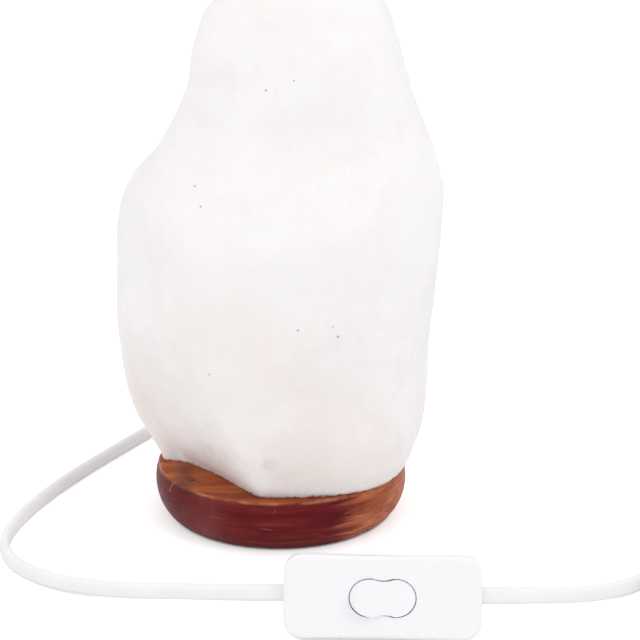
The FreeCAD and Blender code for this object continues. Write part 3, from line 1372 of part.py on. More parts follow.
def main():
    os.makedirs("parts", exist_ok=True)
    for name, make in PARTS.items():
        made = make()
        solids = made if isinstance(made, list) else made.Solids
        shape = solids[0] if len(solids) == 1 else Part.makeCompound(solids)
        shape.exportStep(f"parts/{name}.step")
        low, high = shape.BoundBox.ZMin, shape.BoundBox.ZMax
        print(f"{name:24s} solids {len(shape.Solids)} valid {shape.isValid()} "
              f"volume {shape.Volume:10.1f} z {low:7.2f} {high:7.2f}")
    pivot, axis = switch_placement().multVec(rocker_pivot()), switch_placement().Rotation.multVec(BACK)
    seesaw = switch_placement().multVec(lever_pivot())
    print("rocker pivot", [round(value, 4) for value in pivot], "axis", [round(v, 6) for v in axis])
    print("lever pivot", [round(value, 4) for value in seesaw])
    print("plug face", [round(value, 4) for value in plug_face()])


main()
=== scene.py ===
"""Looks of the salt crystal lamp: metres, +X right, +Y to the back, +Z up, origin on the table."""
import json
import math
import random

import bpy
import numpy as np
from mathutils import Matrix, Vector, noise


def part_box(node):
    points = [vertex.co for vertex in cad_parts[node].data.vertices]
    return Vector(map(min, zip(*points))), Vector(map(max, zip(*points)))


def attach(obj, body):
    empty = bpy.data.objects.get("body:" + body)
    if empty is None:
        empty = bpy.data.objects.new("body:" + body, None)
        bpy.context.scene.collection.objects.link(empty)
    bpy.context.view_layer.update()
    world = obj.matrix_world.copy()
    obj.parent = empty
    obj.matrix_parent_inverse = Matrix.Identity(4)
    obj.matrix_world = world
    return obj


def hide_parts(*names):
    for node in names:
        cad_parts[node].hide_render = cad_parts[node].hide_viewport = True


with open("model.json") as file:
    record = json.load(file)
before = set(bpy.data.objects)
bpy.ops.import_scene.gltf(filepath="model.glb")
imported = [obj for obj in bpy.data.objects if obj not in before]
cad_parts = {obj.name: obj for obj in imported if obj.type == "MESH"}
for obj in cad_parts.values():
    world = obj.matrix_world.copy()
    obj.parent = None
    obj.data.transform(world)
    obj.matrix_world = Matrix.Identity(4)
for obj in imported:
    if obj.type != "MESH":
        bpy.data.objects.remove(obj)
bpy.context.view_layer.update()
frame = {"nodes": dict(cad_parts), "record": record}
NODES = frame["nodes"]
MM = 0.001
rng = random.Random(11)

# ---------------------------------------------------------------- sizes taken over from the CAD
BORE_RADIUS = 23.0 * MM
BASE_LOW, BASE_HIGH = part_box("wooden_base")
BLOCK_LOW, BLOCK_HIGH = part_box("salt_crystal")
BASE_TOP = BASE_HIGH.z
CORD_WIDTH, CORD_THICKNESS = 5.6 * MM, 3.4 * MM
CORD_ON_TABLE = 2.82
PLUG_HALF_HEIGHT = 6.85
SWITCH_YAW, SWITCH_LEAN = math.radians(-2.0), math.radians(15.0)
CORD_IN_SWITCH = 8.5

# ---------------------------------------------------------------- routes of the lead, as in the CAD
EXIT = (0.0, 46.0, 5.9)
LEAVING_BASE = (EXIT, (0.0, 51.5, 5.8), (0.4, 56.5, 3.2))
ROUTE_TO_SWITCH = (
    (0.8, 62.0, CORD_ON_TABLE),
    (1.6, 73.0, CORD_ON_TABLE),
    (2.0, 84.0, CORD_ON_TABLE),
    (-8.0, 99.3, CORD_ON_TABLE),
    (-24.9, 104.1, CORD_ON_TABLE),
    (-41.0, 97.3, CORD_ON_TABLE),
    (-54.6, 72.2, CORD_ON_TABLE),
    (-65.6, 51.0, CORD_ON_TABLE),
    (-76.6, 29.0, CORD_ON_TABLE),
    (-86.6, 6.0, CORD_ON_TABLE),
    (-94.2, -18.0, CORD_ON_TABLE),
    (-97.2, -40.5, CORD_ON_TABLE),
    (-90.6, -58.5, CORD_ON_TABLE),
    (-75.0, -72.7, CORD_ON_TABLE + 0.2),
    (-54.0, -80.8, CORD_ON_TABLE + 0.9),
    (-32.0, -86.6, 6.1),
    (-13.5, -94.2, 9.3),
)
ROUTE_TO_COIL = (
    (82.0, -96.6, 9.4),
    (94.5, -90.4, 6.4),
    (107.5, -82.9, 3.9),
    (119.8, -74.4, CORD_ON_TABLE),
    (127.4, -64.6, CORD_ON_TABLE),
)
ROUTE_TO_PLUG = (
    (192.6, -56.0, 8.6),
    (196.2, -66.5, 8.1),
    (198.6, -76.5, 7.3),
    (199.5, -86.0, PLUG_HALF_HEIGHT),
    (199.5, -94.0, PLUG_HALF_HEIGHT),
)
COIL_CENTRE = (161.0, -66.0)
COIL_OUTER_TURN = 33.1
COIL_STEP = CORD_THICKNESS / MM + 0.1
COIL_LAYER = CORD_WIDTH / MM + 0.1
COIL_ENTRY_ANGLE, COIL_EXIT_ANGLE = 192.0, 17.6
COIL_TURNS_ACROSS = 3
COIL_POINTS_PER_TURN = 12


# ================================================================ camera
def make_camera():
    """The photograph's camera: 0.65 m in front of the lamp, looking down by 17 degrees."""
    data = bpy.data.cameras.new("camera")
    data.sensor_width = 36.0
    data.lens = 106.3
    data.dof.use_dof = False
    camera = bpy.data.objects.new("camera", data)
    bpy.context.scene.collection.objects.link(camera)
    camera.location = (0.0144, -0.650, 0.272)
    camera.rotation_euler = (math.radians(72.9), 0.0, 0.0)
    bpy.context.scene.camera = camera


make_camera()


# ================================================================ materials
class Shader:
    """A node material with short ways to add nodes and join them."""

    def __init__(self, name):
        self.material = bpy.data.materials.new(name)
        self.material.use_nodes = True
        self.nodes = self.material.node_tree.nodes
        self.links = self.material.node_tree.links
        self.surface = self.nodes["Principled BSDF"]
        self.place = self.nodes.new("ShaderNodeTexCoord").outputs["Object"]

    def join(self, output, socket):
        self.links.new(output, socket)

    def put(self, socket, value):
        """A number, a colour or another node's output, on a socket."""
        if isinstance(value, bpy.types.NodeSocket):
            self.links.new(value, socket)
        elif isinstance(value, (tuple, list)) and len(value) == 3 and socket.type == "RGBA":
            socket.default_value = (*value, 1.0)
        else:
            socket.default_value = value

    def noise(self, scale, detail=4.0, roughness=0.5, distortion=0.0, place=None, stretch=None):
        node = self.nodes.new("ShaderNodeTexNoise")
        node.inputs["Scale"].default_value = scale
        node.inputs["Detail"].default_value = detail
        node.inputs["Roughness"].default_value = roughness
        node.inputs["Distortion"].default_value = distortion
        source = place or self.place
        if stretch:
            source = self.stretched(source, stretch)
        self.join(source, node.inputs["Vector"])
        return node.outputs["Fac"]

    def stretched(self, source, scale, rotation=(0, 0, 0)):
        node = self.nodes.new("ShaderNodeMapping")
        node.inputs["Scale"].default_value = scale
        node.inputs["Rotation"].default_value = rotation
        self.join(source, node.inputs["Vector"])
        return node.outputs["Vector"]

    def cells(self, scale, feature="F1", randomness=1.0):
        node = self.nodes.new("ShaderNodeTexVoronoi")
        node.feature = feature
        node.inputs["Scale"].default_value = scale
        node.inputs["Randomness"].default_value = randomness
        self.join(self.place, node.inputs["Vector"])
        return node.outputs["Distance"]

    def ramp(self, factor, *stops):
        """Colours or greys at places from 0 to 1."""
        node = self.nodes.new("ShaderNodeValToRGB")
        elements = node.color_ramp.elements
        while len(elements) < len(stops):
            elements.new(0.5)
        for element, (place, colour) in zip(elements, stops):
            element.position = place
            grey = (colour, colour, colour) if isinstance(colour, (int, float)) else colour
            element.color = (*grey, 1.0)
        self.join(factor, node.inputs["Fac"])
        return node.outputs["Color"]

    def mix(self, factor, first, second, blend="MIX"):
        node = self.nodes.new("ShaderNodeMix")
        node.data_type = "RGBA"
        node.blend_type = blend
        self.put(node.inputs["Factor"], factor)
        self.put(node.inputs[6], first)
        self.put(node.inputs[7], second)
        return node.outputs[2]

    def math(self, operation, first, second=0.0, clamp=False):
        node = self.nodes.new("ShaderNodeMath")
        node.operation = operation
        node.use_clamp = clamp
        self.put(node.inputs[0], first)
        self.put(node.inputs[1], second)
        return node.outputs[0]

    def axis(self, letter):
        node = self.nodes.new("ShaderNodeSeparateXYZ")
        self.join(self.place, node.inputs[0])
        return node.outputs["XYZ".index(letter)]

    def between(self, value, low, high):
        """0 below low, 1 above high, smooth between them."""
        node = self.nodes.new("ShaderNodeMapRange")
        node.interpolation_type = "SMOOTHSTEP"
        node.inputs["From Min"].default_value = low
        node.inputs["From Max"].default_value = high
        self.join(value, node.inputs["Value"])
        return node.outputs["Result"]

    def stroke(self, across, up, start, end, half_width):
        """1 on a line between two places in the plane of two outputs, 0 outside its width."""
        span = math.hypot(end[0] - start[0], end[1] - start[1])
        run, rise = (end[0] - start[0]) / span, (end[1] - start[1]) / span
        from_x = self.math("SUBTRACT", across, start[0])
        from_z = self.math("SUBTRACT", up, start[1])
        travelled = self.math("ADD", self.math("MULTIPLY", from_x, run), self.math("MULTIPLY", from_z, rise))
        off = self.math("SUBTRACT", self.math("MULTIPLY", from_x, rise), self.math("MULTIPLY", from_z, run))
        wide = self.between(self.math("ABSOLUTE", off), half_width, half_width * 0.35)
        begun = self.between(travelled, 0.0, span * 0.15)
        ended = self.between(travelled, span, span * 0.8)
        return self.math("MULTIPLY", wide, self.math("MULTIPLY", begun, ended))

    def patch(self, across, up, centre_x, centre_z, radius_x, radius_z):
        """1 inside an ellipse in the plane of two outputs, 0 outside."""
        from_x = self.math("DIVIDE", self.math("SUBTRACT", across, centre_x), radius_x)
        from_z = self.math("DIVIDE", self.math("SUBTRACT", up, centre_z), radius_z)
        squares = self.math("ADD", self.math("MULTIPLY", from_x, from_x), self.math("MULTIPLY", from_z, from_z))
        return self.between(squares, 1.0, 0.0)

    def attribute(self, name):
        node = self.nodes.new("ShaderNodeAttribute")
        node.attribute_name = name
        return node.outputs["Fac"]

    def bump(self, height, distance, strength=1.0, under=None):
        node = self.nodes.new("ShaderNodeBump")
        node.inputs["Strength"].default_value = strength
        node.inputs["Distance"].default_value = distance
        self.join(height, node.inputs["Height"])
        if under:
            self.join(under, node.inputs["Normal"])
        return node.outputs["Normal"]

    def finish(self, **values):
        names = {"colour": "Base Color", "roughness": "Roughness", "metallic": "Metallic", "normal": "Normal",
                 "coat": "Coat Weight", "coat_roughness": "Coat Roughness", "subsurface": "Subsurface Weight",
                 "transmission": "Transmission Weight", "ior": "IOR", "specular": "Specular IOR Level",
                 "subsurface_scale": "Subsurface Scale", "subsurface_radius": "Subsurface Radius"}
        for name, value in values.items():
            self.put(self.surface.inputs[names[name]], value)
        return self.material


# (x, z, radius) in millimetres of dark specks seen on the front of the block
FRONT_SPECKS = (
    (7.0, 83.8, 0.42),
    (20.4, 80.6, 0.50),
    (-3.5, 160.9, 0.40),
    (5.8, 164.2, 0.32),
    (-27.2, 129.9, 0.38),
    (-25.0, 124.3, 0.38),
    (-22.9, 67.6, 0.34),
    (18.7, 84.5, 0.30),
)
# (x, z, radius across, radius up, strength) of glassy patches low on its front, in millimetres
FRONT_WINDOWS = (
    (-22.5, 31.0, 10.0, 6.5, 0.38),
    (-14.5, 26.5, 6.0, 5.0, 0.25),
    (-2.8, 34.5, 4.4, 4.0, 0.40),
    (4.0, 29.0, 9.0, 4.0, 0.22),
)


def salt():
    """Hewn rock salt: milky white, warmer and glassier towards the foot, with clouds, veins and specks."""
    s = Shader("salt")
    x, y, z = s.axis("X"), s.axis("Y"), s.axis("Z")
    clouds = s.noise(24.0, 5.0, 0.55, 0.5)
    veins = s.noise(1.0, 6.0, 0.6, 1.4, place=s.stretched(s.place, (70.0, 70.0, 30.0), (0.3, 0.2, 0.0)))
    low = s.between(z, 0.110, 0.026)
    right = s.between(x, 0.012, 0.050)
    warm = s.ramp(clouds, (0.34, (0.945, 0.905, 0.895)), (0.50, (0.925, 0.868, 0.850)),
                  (0.68, (0.895, 0.815, 0.780)))
    white = s.ramp(veins, (0.30, (0.935, 0.925, 0.935)), (0.58, (0.925, 0.905, 0.915)),
                   (0.80, (0.895, 0.855, 0.855)))
    amount = s.math("MULTIPLY", s.math("ADD", s.math("MULTIPLY", low, 0.70), 0.25),
                    s.math("SUBTRACT", 1.0, s.math("MULTIPLY", right, 0.5)))
    colour = s.mix(amount, white, warm)
    mottled = s.ramp(s.noise(85.0, 5.0, 0.6, 1.0), (0.44, 0.0), (0.64, 1.0))
    mottled = s.math("MULTIPLY", mottled, s.math("ADD", s.math("MULTIPLY", low, 0.35), 0.20))
    colour = s.mix(mottled, colour, (0.880, 0.830, 0.810))
    rim = s.between(s.math("ADD", z, s.math("MULTIPLY", clouds, 0.012)), 0.040, 0.024)
    glassy = s.ramp(s.noise(46.0, 3.0, 0.5, 0.8), (0.50, 0.0), (0.66, 1.0))
    glassy = s.math("MULTIPLY", glassy, s.math("MULTIPLY", rim, 0.25))
    front = s.between(y, 0.0, -0.004)
    broken = s.ramp(s.noise(150.0, 5.0, 0.65, 0.8), (0.28, 0.2), (0.60, 1.0))
    for centre_x, centre_z, across, up, strength in FRONT_WINDOWS:
        patch = s.patch(x, z, centre_x * MM, centre_z * MM, across * MM, up * MM)
        patch = s.math("MULTIPLY", s.math("MULTIPLY", patch, strength), s.math("MULTIPLY", front, broken))
        glassy = s.math("MAXIMUM", glassy, patch)
    colour = s.mix(glassy, colour, (0.700, 0.620, 0.550))
    specks = None
    for centre_x, centre_z, radius in FRONT_SPECKS:
        speck = s.patch(x, z, centre_x * MM, centre_z * MM, radius * MM * 1.4, radius * MM * 1.1)
        specks = speck if specks is None else s.math("MAXIMUM", specks, speck)
    specks = s.math("MULTIPLY", specks, front)
    crumbs = s.cells(85.0)
    others = s.math("MULTIPLY", s.between(crumbs, 0.055, 0.030), s.between(y, -0.004, 0.004))
    colour = s.mix(s.math("MULTIPLY", s.math("MAXIMUM", specks, others), 0.6), colour, (0.20, 0.16, 0.16))
    # Painted shade: a dark brown line on the block just above the base stands in for the contact shadow where it
    # sits.
    painted_seat_shade = s.math("MULTIPLY", s.between(z, BASE_TOP + 0.0007, BASE_TOP + 0.0002),
                  s.ramp(s.noise(320.0, 4.0, 0.7), (0.40, 0.0), (0.62, 0.9)))
    colour = s.mix(painted_seat_shade, colour, (0.30, 0.10, 0.065))
    grain = s.bump(s.noise(900.0, 3.0, 0.6), 0.00010)
    skin = s.bump(s.noise(210.0, 5.0, 0.60, 0.6), 0.00030, under=grain)
    roughness = s.ramp(s.noise(140.0, 3.0), (0.35, 0.40), (0.65, 0.60))
    return s.finish(colour=colour, roughness=roughness, normal=skin, subsurface=0.45, specular=0.35,
                    subsurface_scale=0.010, subsurface_radius=(1.0, 0.74, 0.64))


# (x, z, x, z, half width) in millimetres: ends of scratches in the lacquer on the front of the base
FRONT_SCRATCHES = (
    (-37.7, 19.5, -39.6, 14.6, 0.24),
    (-42.3, 14.8, -43.4, 9.6, 0.20),
    (-7.2, 10.4, -1.6, 9.8, 0.13),
    (-24.0, 12.6, -19.5, 12.2, 0.10),
    (-1.2, 17.4, -1.4, 16.2, 0.12),
    (22.5, 13.4, 29.0, 14.6, 0.10),
    (19.0, 9.0, 25.0, 10.0, 0.09),
)


def stained_wood():
    """Turned plank: the grain runs across the lamp under a red stain and lacquer, rubbed lighter at the rim, where
    a highlight is painted along it; a violet sheen on the left and light on the top face are painted in too.
    """
    s = Shader("stained_wood")
    x, y, z = s.axis("X"), s.axis("Y"), s.axis("Z")
    along = s.stretched(s.place, (7.0, 60.0, 230.0), (0.0, 0.04, 0.14))
    streaks = s.noise(1.0, 7.0, 0.66, 1.2, place=along)
    fine = s.noise(1.0, 5.0, 0.7, 0.5, place=s.stretched(s.place, (34.0, 420.0, 900.0), (0.0, 0.04, 0.1)))
    pores = s.noise(1.0, 4.0, 0.7, 0.3, place=s.stretched(s.place, (70.0, 900.0, 1500.0)))
    clouds = s.noise(24.0, 4.0, 0.6, 0.8)
    stain = s.ramp(streaks, (0.34, (0.085, 0.0025, 0.0050)), (0.52, (0.130, 0.0060, 0.0090)),
                   (0.70, (0.190, 0.0240, 0.0180)))
    bare = s.ramp(streaks, (0.32, (0.23, 0.042, 0.016)), (0.50, (0.40, 0.105, 0.040)),
                  (0.68, (0.60, 0.21, 0.100)))
    # Painted reflection: a violet sheen of the surroundings on the left side of the base, put into its colour over
    # the red stain.
    painted_violet_sheen = s.ramp(clouds, (0.36, (0.130, 0.018, 0.021)), (0.62, (0.250, 0.062, 0.054)))
    sheen_to_left = s.math("MULTIPLY", s.between(x, -0.010, -0.030), s.ramp(clouds, (0.38, 0.25), (0.58, 1.0)))
    colour = s.mix(s.math("MULTIPLY", sheen_to_left, 0.75), stain, painted_violet_sheen)
    to_right = s.between(s.math("ADD", x, s.math("MULTIPLY", streaks, 0.022)), 0.029, 0.042)
    behind = s.math("MULTIPLY", s.between(y, 0.004, 0.034), s.ramp(clouds, (0.42, 0.1), (0.60, 1.0)))
    # The top face gets a browner, brighter colour: partly its own tone, partly painted light that lifts it where
    # the overhanging block shades it.
    level = s.between(z, BASE_TOP - 0.0016, BASE_TOP - 0.0003)
    amount = s.math("MAXIMUM", s.math("MULTIPLY", to_right, 0.92), s.math("MULTIPLY", behind, 0.75))
    colour = s.mix(amount, colour, bare)
    top = s.ramp(streaks, (0.34, (0.200, 0.034, 0.010)), (0.50, (0.330, 0.070, 0.018)),
                 (0.68, (0.50, 0.140, 0.040)))
    top = s.mix(s.math("MULTIPLY", to_right, 0.8), top, bare)
    colour = s.mix(level, colour, top)
    # The rim: rubbed lighter wood with a painted highlight along the edge, strongest on the left.
    rim = s.math("MULTIPLY", s.between(z, BASE_TOP - 0.0016, BASE_TOP - 0.0010),
                 s.between(z, BASE_TOP - 0.0002, BASE_TOP - 0.0007))
    rim_wear_and_highlight = s.math("MULTIPLY", rim, s.ramp(s.noise(95.0, 5.0, 0.7), (0.42, 0.0), (0.60, 1.0)))
    rim_wear_and_highlight = s.math("MULTIPLY", rim_wear_and_highlight, s.math("ADD", s.math("MULTIPLY", s.between(x, -0.030, -0.042), 0.5), 0.45))
    colour = s.mix(rim_wear_and_highlight, colour, (0.56, 0.28, 0.17))
    # A darker spot on the front left, just under the rim.
    dark_spot_left = s.math("MULTIPLY", s.patch(x, z, -0.0340, 0.0185, 0.0055, 0.0026), s.between(y, 0.0, -0.004))
    colour = s.mix(s.math("MULTIPLY", dark_spot_left, 0.6), colour, (0.070, 0.012, 0.012))
    colour = s.mix(s.math("MULTIPLY", s.ramp(fine, (0.58, 0.0), (0.70, 1.0)), 0.35), colour,
                   (0.045, 0.006, 0.006))
    colour = s.mix(s.math("MULTIPLY", s.ramp(pores, (0.62, 0.0), (0.72, 1.0)), 0.5), colour,
                   (0.030, 0.006, 0.005))
    front = s.between(y, 0.0, -0.004)
    marks = None
    for first_x, first_z, last_x, last_z, half_width in FRONT_SCRATCHES:
        mark = s.stroke(x, z, (first_x * MM, first_z * MM), (last_x * MM, last_z * MM), half_width * MM)
        marks = mark if marks is None else s.math("MAXIMUM", marks, mark)
    marks = s.math("MULTIPLY", marks, front)
    marks = s.math("MULTIPLY", marks, s.ramp(s.noise(420.0, 3.0), (0.34, 0.25), (0.52, 1.0)))
    colour = s.mix(s.math("MULTIPLY", marks, 0.5), colour, (0.50, 0.24, 0.16))
    # Dark knotted spots, and painted shadow inside the chip in the foot.
    knots_and_shade = s.math("MULTIPLY", s.attribute("knot_and_shade"), s.ramp(s.noise(620.0, 3.0, 0.6), (0.38, 0.35), (0.6, 1.0)))
    colour = s.mix(knots_and_shade, colour, (0.022, 0.006, 0.005))
    normal = s.bump(pores, 0.00010, 0.5, under=s.bump(streaks, 0.00016, 0.5))
    roughness = s.ramp(s.noise(60.0, 4.0), (0.35, 0.30), (0.65, 0.46))
    return s.finish(colour=colour, roughness=roughness, normal=normal, coat=0.02, coat_roughness=0.20,
                    specular=0.12)


def finish_of(name, colour, roughness, metallic=0.0, shade=0.9, scale=180.0, bump=0.00002, **more):
    """A finish whose colour and gloss vary a little over the surface."""
    s = Shader(name)
    darker = tuple(value * shade for value in colour)
    tone = s.ramp(s.noise(scale, 4.0), (0.35, darker), (0.65, colour))
    gloss = s.ramp(s.noise(scale * 2.2, 3.0), (0.35, roughness * 0.85), (0.65, min(roughness * 1.15, 1.0)))
    normal = s.bump(s.noise(scale * 8, 2.0), bump)
    return s.finish(colour=tone, roughness=gloss, metallic=metallic, normal=normal, **more)


def glass():
    s = Shader("clear_glass")
    tone = s.ramp(s.noise(90.0, 3.0), (0.35, (0.92, 0.95, 0.95)), (0.65, (0.98, 0.99, 0.99)))
    normal = s.bump(s.noise(70.0, 2.0), 0.00004, 0.4)
    return s.finish(colour=tone, roughness=0.03, transmission=1.0, ior=1.48, normal=normal)


MATERIALS = {
    "salt": salt(),
    "wood": stained_wood(),
    "white_plastic": finish_of("white_plastic", (0.925, 0.915, 0.94), 0.36, shade=0.985, specular=0.4),
    "cord_white": finish_of("cord_white", (0.92, 0.905, 0.925), 0.42, shade=0.975, scale=120.0, specular=0.35),
    "holder_plastic": finish_of("holder_plastic", (0.78, 0.76, 0.70), 0.5, shade=0.93),
    "brass": finish_of("brass", (0.72, 0.50, 0.20), 0.28, 1.0, 0.8),
    "nickel": finish_of("nickel", (0.66, 0.64, 0.60), 0.20, 1.0, 0.85),
    "steel": finish_of("steel", (0.56, 0.57, 0.58), 0.32, 1.0, 0.8),
    "clear_glass": glass(),
    "black_glass": finish_of("black_glass", (0.015, 0.015, 0.018), 0.12),
    "filament": finish_of("filament", (0.22, 0.21, 0.20), 0.5, 1.0),
    "core_brown": finish_of("core_brown", (0.17, 0.065, 0.025), 0.4),
    "core_blue": finish_of("core_blue", (0.02, 0.09, 0.36), 0.4),
    "feet": finish_of("feet", (0.030, 0.030, 0.031), 0.75),
    "sleeve_black": finish_of("sleeve_black", (0.02, 0.02, 0.02), 0.45),
}


def dress_nodes():
    """Each CAD node gets the finish of its slot."""
    slots = {part["node"]: part["material_slot"] for part in frame["record"]["subparts"]}
    for name, node in NODES.items():
        node.data.materials.clear()
        node.data.materials.append(MATERIALS[slots[name]])


dress_nodes()


# ================================================================ lead
def smooth_route(points):
    """A NURBS spline with the route's points as its control points, and points read along it."""
    curve = bpy.data.curves.new("route", "CURVE")
    curve.dimensions = "3D"
    curve.resolution_u = 8
    spline = curve.splines.new("NURBS")
    spline.points.add(len(points) - 1)
    for control, point in zip(spline.points, points):
        control.co = (*(value * MM for value in point), 1.0)
    spline.order_u = 3
    spline.use_endpoint_u = True
    carrier = bpy.data.objects.new("route", curve)
    bpy.context.scene.collection.objects.link(carrier)
    bpy.context.view_layer.update()
    mesh = bpy.data.meshes.new_from_object(carrier.evaluated_get(bpy.context.evaluated_depsgraph_get()))
    line = [vertex.co.copy() for vertex in mesh.vertices]
    bpy.data.objects.remove(carrier)
    bpy.data.meshes.remove(mesh)
    thinned = [line[0]]
    for point in line[1:]:
        if (point - thinned[-1]).length > 0.4 * MM:
            thinned.append(point)
    return thinned


def lead_outline():
    """Points round the flat lead, (across its width, across its thickness)."""
    half_round = CORD_THICKNESS / 2
    flat = CORD_WIDTH / 2 - half_round
    steps = 7
    outline = []
    for end in (1, -1):
        for step in range(steps + 1):
            angle = math.pi * step / steps
            outline.append((end * (flat + half_round * math.sin(angle)), end * half_round * math.cos(angle)))
    return outline


def flat_lead(name, line, wide_at):
    """The lead as a mesh that follows a line; wide_at gives its wide direction at each distance."""
    outline = lead_outline()
    vertices, faces = [], []
    travelled = 0.0
    last = len(line) - 1
    for number, point in enumerate(line):
        if number:
            travelled += (point - line[number - 1]).length
        along = (line[min(number + 1, last)] - line[max(number - 1, 0)]).normalized()
        wide = wide_at(travelled)
        wide = (wide - along * wide.dot(along)).normalized()
        thin = along.cross(wide)
        vertices += [point + wide * across + thin * through for across, through in outline]
    count = len(outline)
    for ring in range(last):
        for side in range(count):
            first, second = ring * count + side, ring * count + (side + 1) % count
            faces.append((first, second, second + count, first + count))
    faces.append(tuple(range(count - 1, -1, -1)))
    faces.append(tuple(last * count + side for side in range(count)))
    mesh = bpy.data.meshes.new(name)
    mesh.from_pydata([tuple(vertex) for vertex in vertices], [], faces)
    mesh.update()
    for polygon in mesh.polygons:
        polygon.use_smooth = len(polygon.vertices) == 4
    piece = bpy.data.objects.new(name, mesh)
    bpy.context.scene.collection.objects.link(piece)
    piece.data.materials.append(MATERIALS["cord_white"])
    return piece


def switch_axes():
    """Directions along the switch, across its face and out of its face."""
    turn = Matrix.Rotation(SWITCH_YAW, 3, "Z") @ Matrix.Rotation(math.pi / 2 - SWITCH_LEAN, 3, "X")
    return turn @ Vector((1, 0, 0)), turn @ Vector((0, 1, 0)), turn @ Vector((0, 0, 1))


SWITCH_ALONG, SWITCH_ACROSS, SWITCH_OUT = switch_axes()


def switch_mouths():
    """Middle of the lead where it goes into the left and the right end of the switch, in millimetres."""
    half_height, depth = 27.0 / 2, 5.5
    middle = Vector((34.0, -109.5, half_height * math.cos(SWITCH_LEAN) + depth * math.sin(SWITCH_LEAN)))
    inside = middle - SWITCH_OUT * 7.4
    reach = SWITCH_ALONG * (62.5 / 2)
    return inside - reach, inside + reach


def turning(stops):
    """Wide direction at a distance along the lead, eased between (distance, direction) stops."""
    def wide_at(distance):
        for (start, before), (end, after) in zip(stops, stops[1:]):
            if distance <= end:
                part = max(0.0, (distance - start) / (end - start))
                ease = part * part * (3 - 2 * part)
                angle = before.angle(after)
                if angle < 1e-4:
                    return before
                return before.slerp(after, ease)
        return stops[-1][1]
    return wide_at


def coil_points():
    """Control points of the put-away turns: inwards in the lower layer, outwards in the upper."""
    points = []
    turns = 2 * COIL_TURNS_ACROSS - 1 + (COIL_ENTRY_ANGLE - COIL_EXIT_ANGLE) / 360
    inner = COIL_OUTER_TURN - (COIL_TURNS_ACROSS - 1) * COIL_STEP
    cut_in = math.cos(math.pi / COIL_POINTS_PER_TURN)
    for number in range(1, int(turns * COIL_POINTS_PER_TURN) + 1):
        turn = number / COIL_POINTS_PER_TURN
        whole = int(turn)
        crossing = max(0.0, (turn - whole - 0.8) / 0.2)
        crossing = crossing * crossing * (3 - 2 * crossing)
        level = CORD_ON_TABLE
        if whole < COIL_TURNS_ACROSS - 1:
            radius = COIL_OUTER_TURN - COIL_STEP * (whole + crossing)
        elif whole == COIL_TURNS_ACROSS - 1:
            radius = inner
            level += COIL_LAYER * crossing
        else:
            radius = inner + COIL_STEP * (whole - COIL_TURNS_ACROSS + crossing)
            level += COIL_LAYER
        radius = radius / cut_in + 0.12 * math.sin(2.3 * number)
        angle = math.radians(COIL_ENTRY_ANGLE - 360 * turn)
        points.append((COIL_CENTRE[0] + radius * math.cos(angle), COIL_CENTRE[1] + radius * math.sin(angle), level))
    return points


def length_of(line):
    return sum((after - before).length for before, after in zip(line, line[1:]))


UP = Vector((0, 0, 1))
LEFT_MOUTH, RIGHT_MOUTH = switch_mouths()


def lead_to_switch():
    inside = LEFT_MOUTH + SWITCH_ALONG * CORD_IN_SWITCH
    line = smooth_route([*LEAVING_BASE, *ROUTE_TO_SWITCH, tuple(LEFT_MOUTH - SWITCH_ALONG * 3),
                         tuple(LEFT_MOUTH), tuple(inside)])
    length = length_of(line)
    flat = Vector((1, 0, 0))
    wide_at = turning([(0.0, flat), (0.003, flat), (0.020, UP), (length - 0.040, UP),
                       (length - CORD_IN_SWITCH * MM, SWITCH_ACROSS), (length, SWITCH_ACROSS)])
    lead = flat_lead("lead_lamp_to_switch", line, wide_at)
    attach(lead, "lamp")
    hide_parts("cord_to_switch")
    return lead


def lead_to_plug():
    inside = RIGHT_MOUTH - SWITCH_ALONG * CORD_IN_SWITCH
    points = [tuple(inside), tuple(RIGHT_MOUTH), tuple(RIGHT_MOUTH + SWITCH_ALONG * 3), *ROUTE_TO_COIL]
    line = smooth_route([*points, *coil_points(), *ROUTE_TO_PLUG])
    length = length_of(line)
    wide_at = turning([(0.0, SWITCH_ACROSS), (CORD_IN_SWITCH * MM, SWITCH_ACROSS), (0.040, UP), (length, UP)])
    lead = flat_lead("lead_switch_to_plug", line, wide_at)
    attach(lead, "lamp")
    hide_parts("cord_to_coil", "cord_coil", "cord_tail")
    return lead


lead_to_switch()
lead_to_plug()


# ================================================================ crystal
# (x, z, turn, tilt, depth) of flat cuts on the front: a place in millimetres, degrees that the cut is
# turned to the right and tilted up from the face of the block there, and its depth in millimetres
FRONT_CUTS = (
    (-36.0, 58.0, -8.0, -4.0, 0.8),
    (-18.0, 62.0, 8.0, -3.0, 0.8),
    (2.0, 42.0, 3.0, -6.0, 0.8),
    (34.5, 42.0, 9.0, -8.0, 1.1),
    (22.0, 55.0, -5.0, -3.0, 0.7),
    (-4.0, 133.0, -3.0, 9.0, 0.8),
    (12.0, 134.0, 4.0, 8.0, 0.8),
    (-24.0, 150.0, -5.0, 2.0, 0.8),
    (22.0, 154.0, 6.0, 3.0, 0.8),
    (38.0, 118.0, 6.0, 0.0, 0.8),
    (-40.0, 104.0, -6.0, 1.0, 0.8),
)
OTHER_CUTS = 80
BREAK_ANGLE = math.radians(-142)  # direction that the broken corner of the foot faces
BREAK_REACH = 30.6  # millimetres from the axis to the break, on top of the base
BREAK_LEAN = math.radians(24)  # outwards from upright
BREAK_ROUNDING = 1.1
CUT_ROUNDING = 0.3  # millimetres
CUT_REACH = 27.0


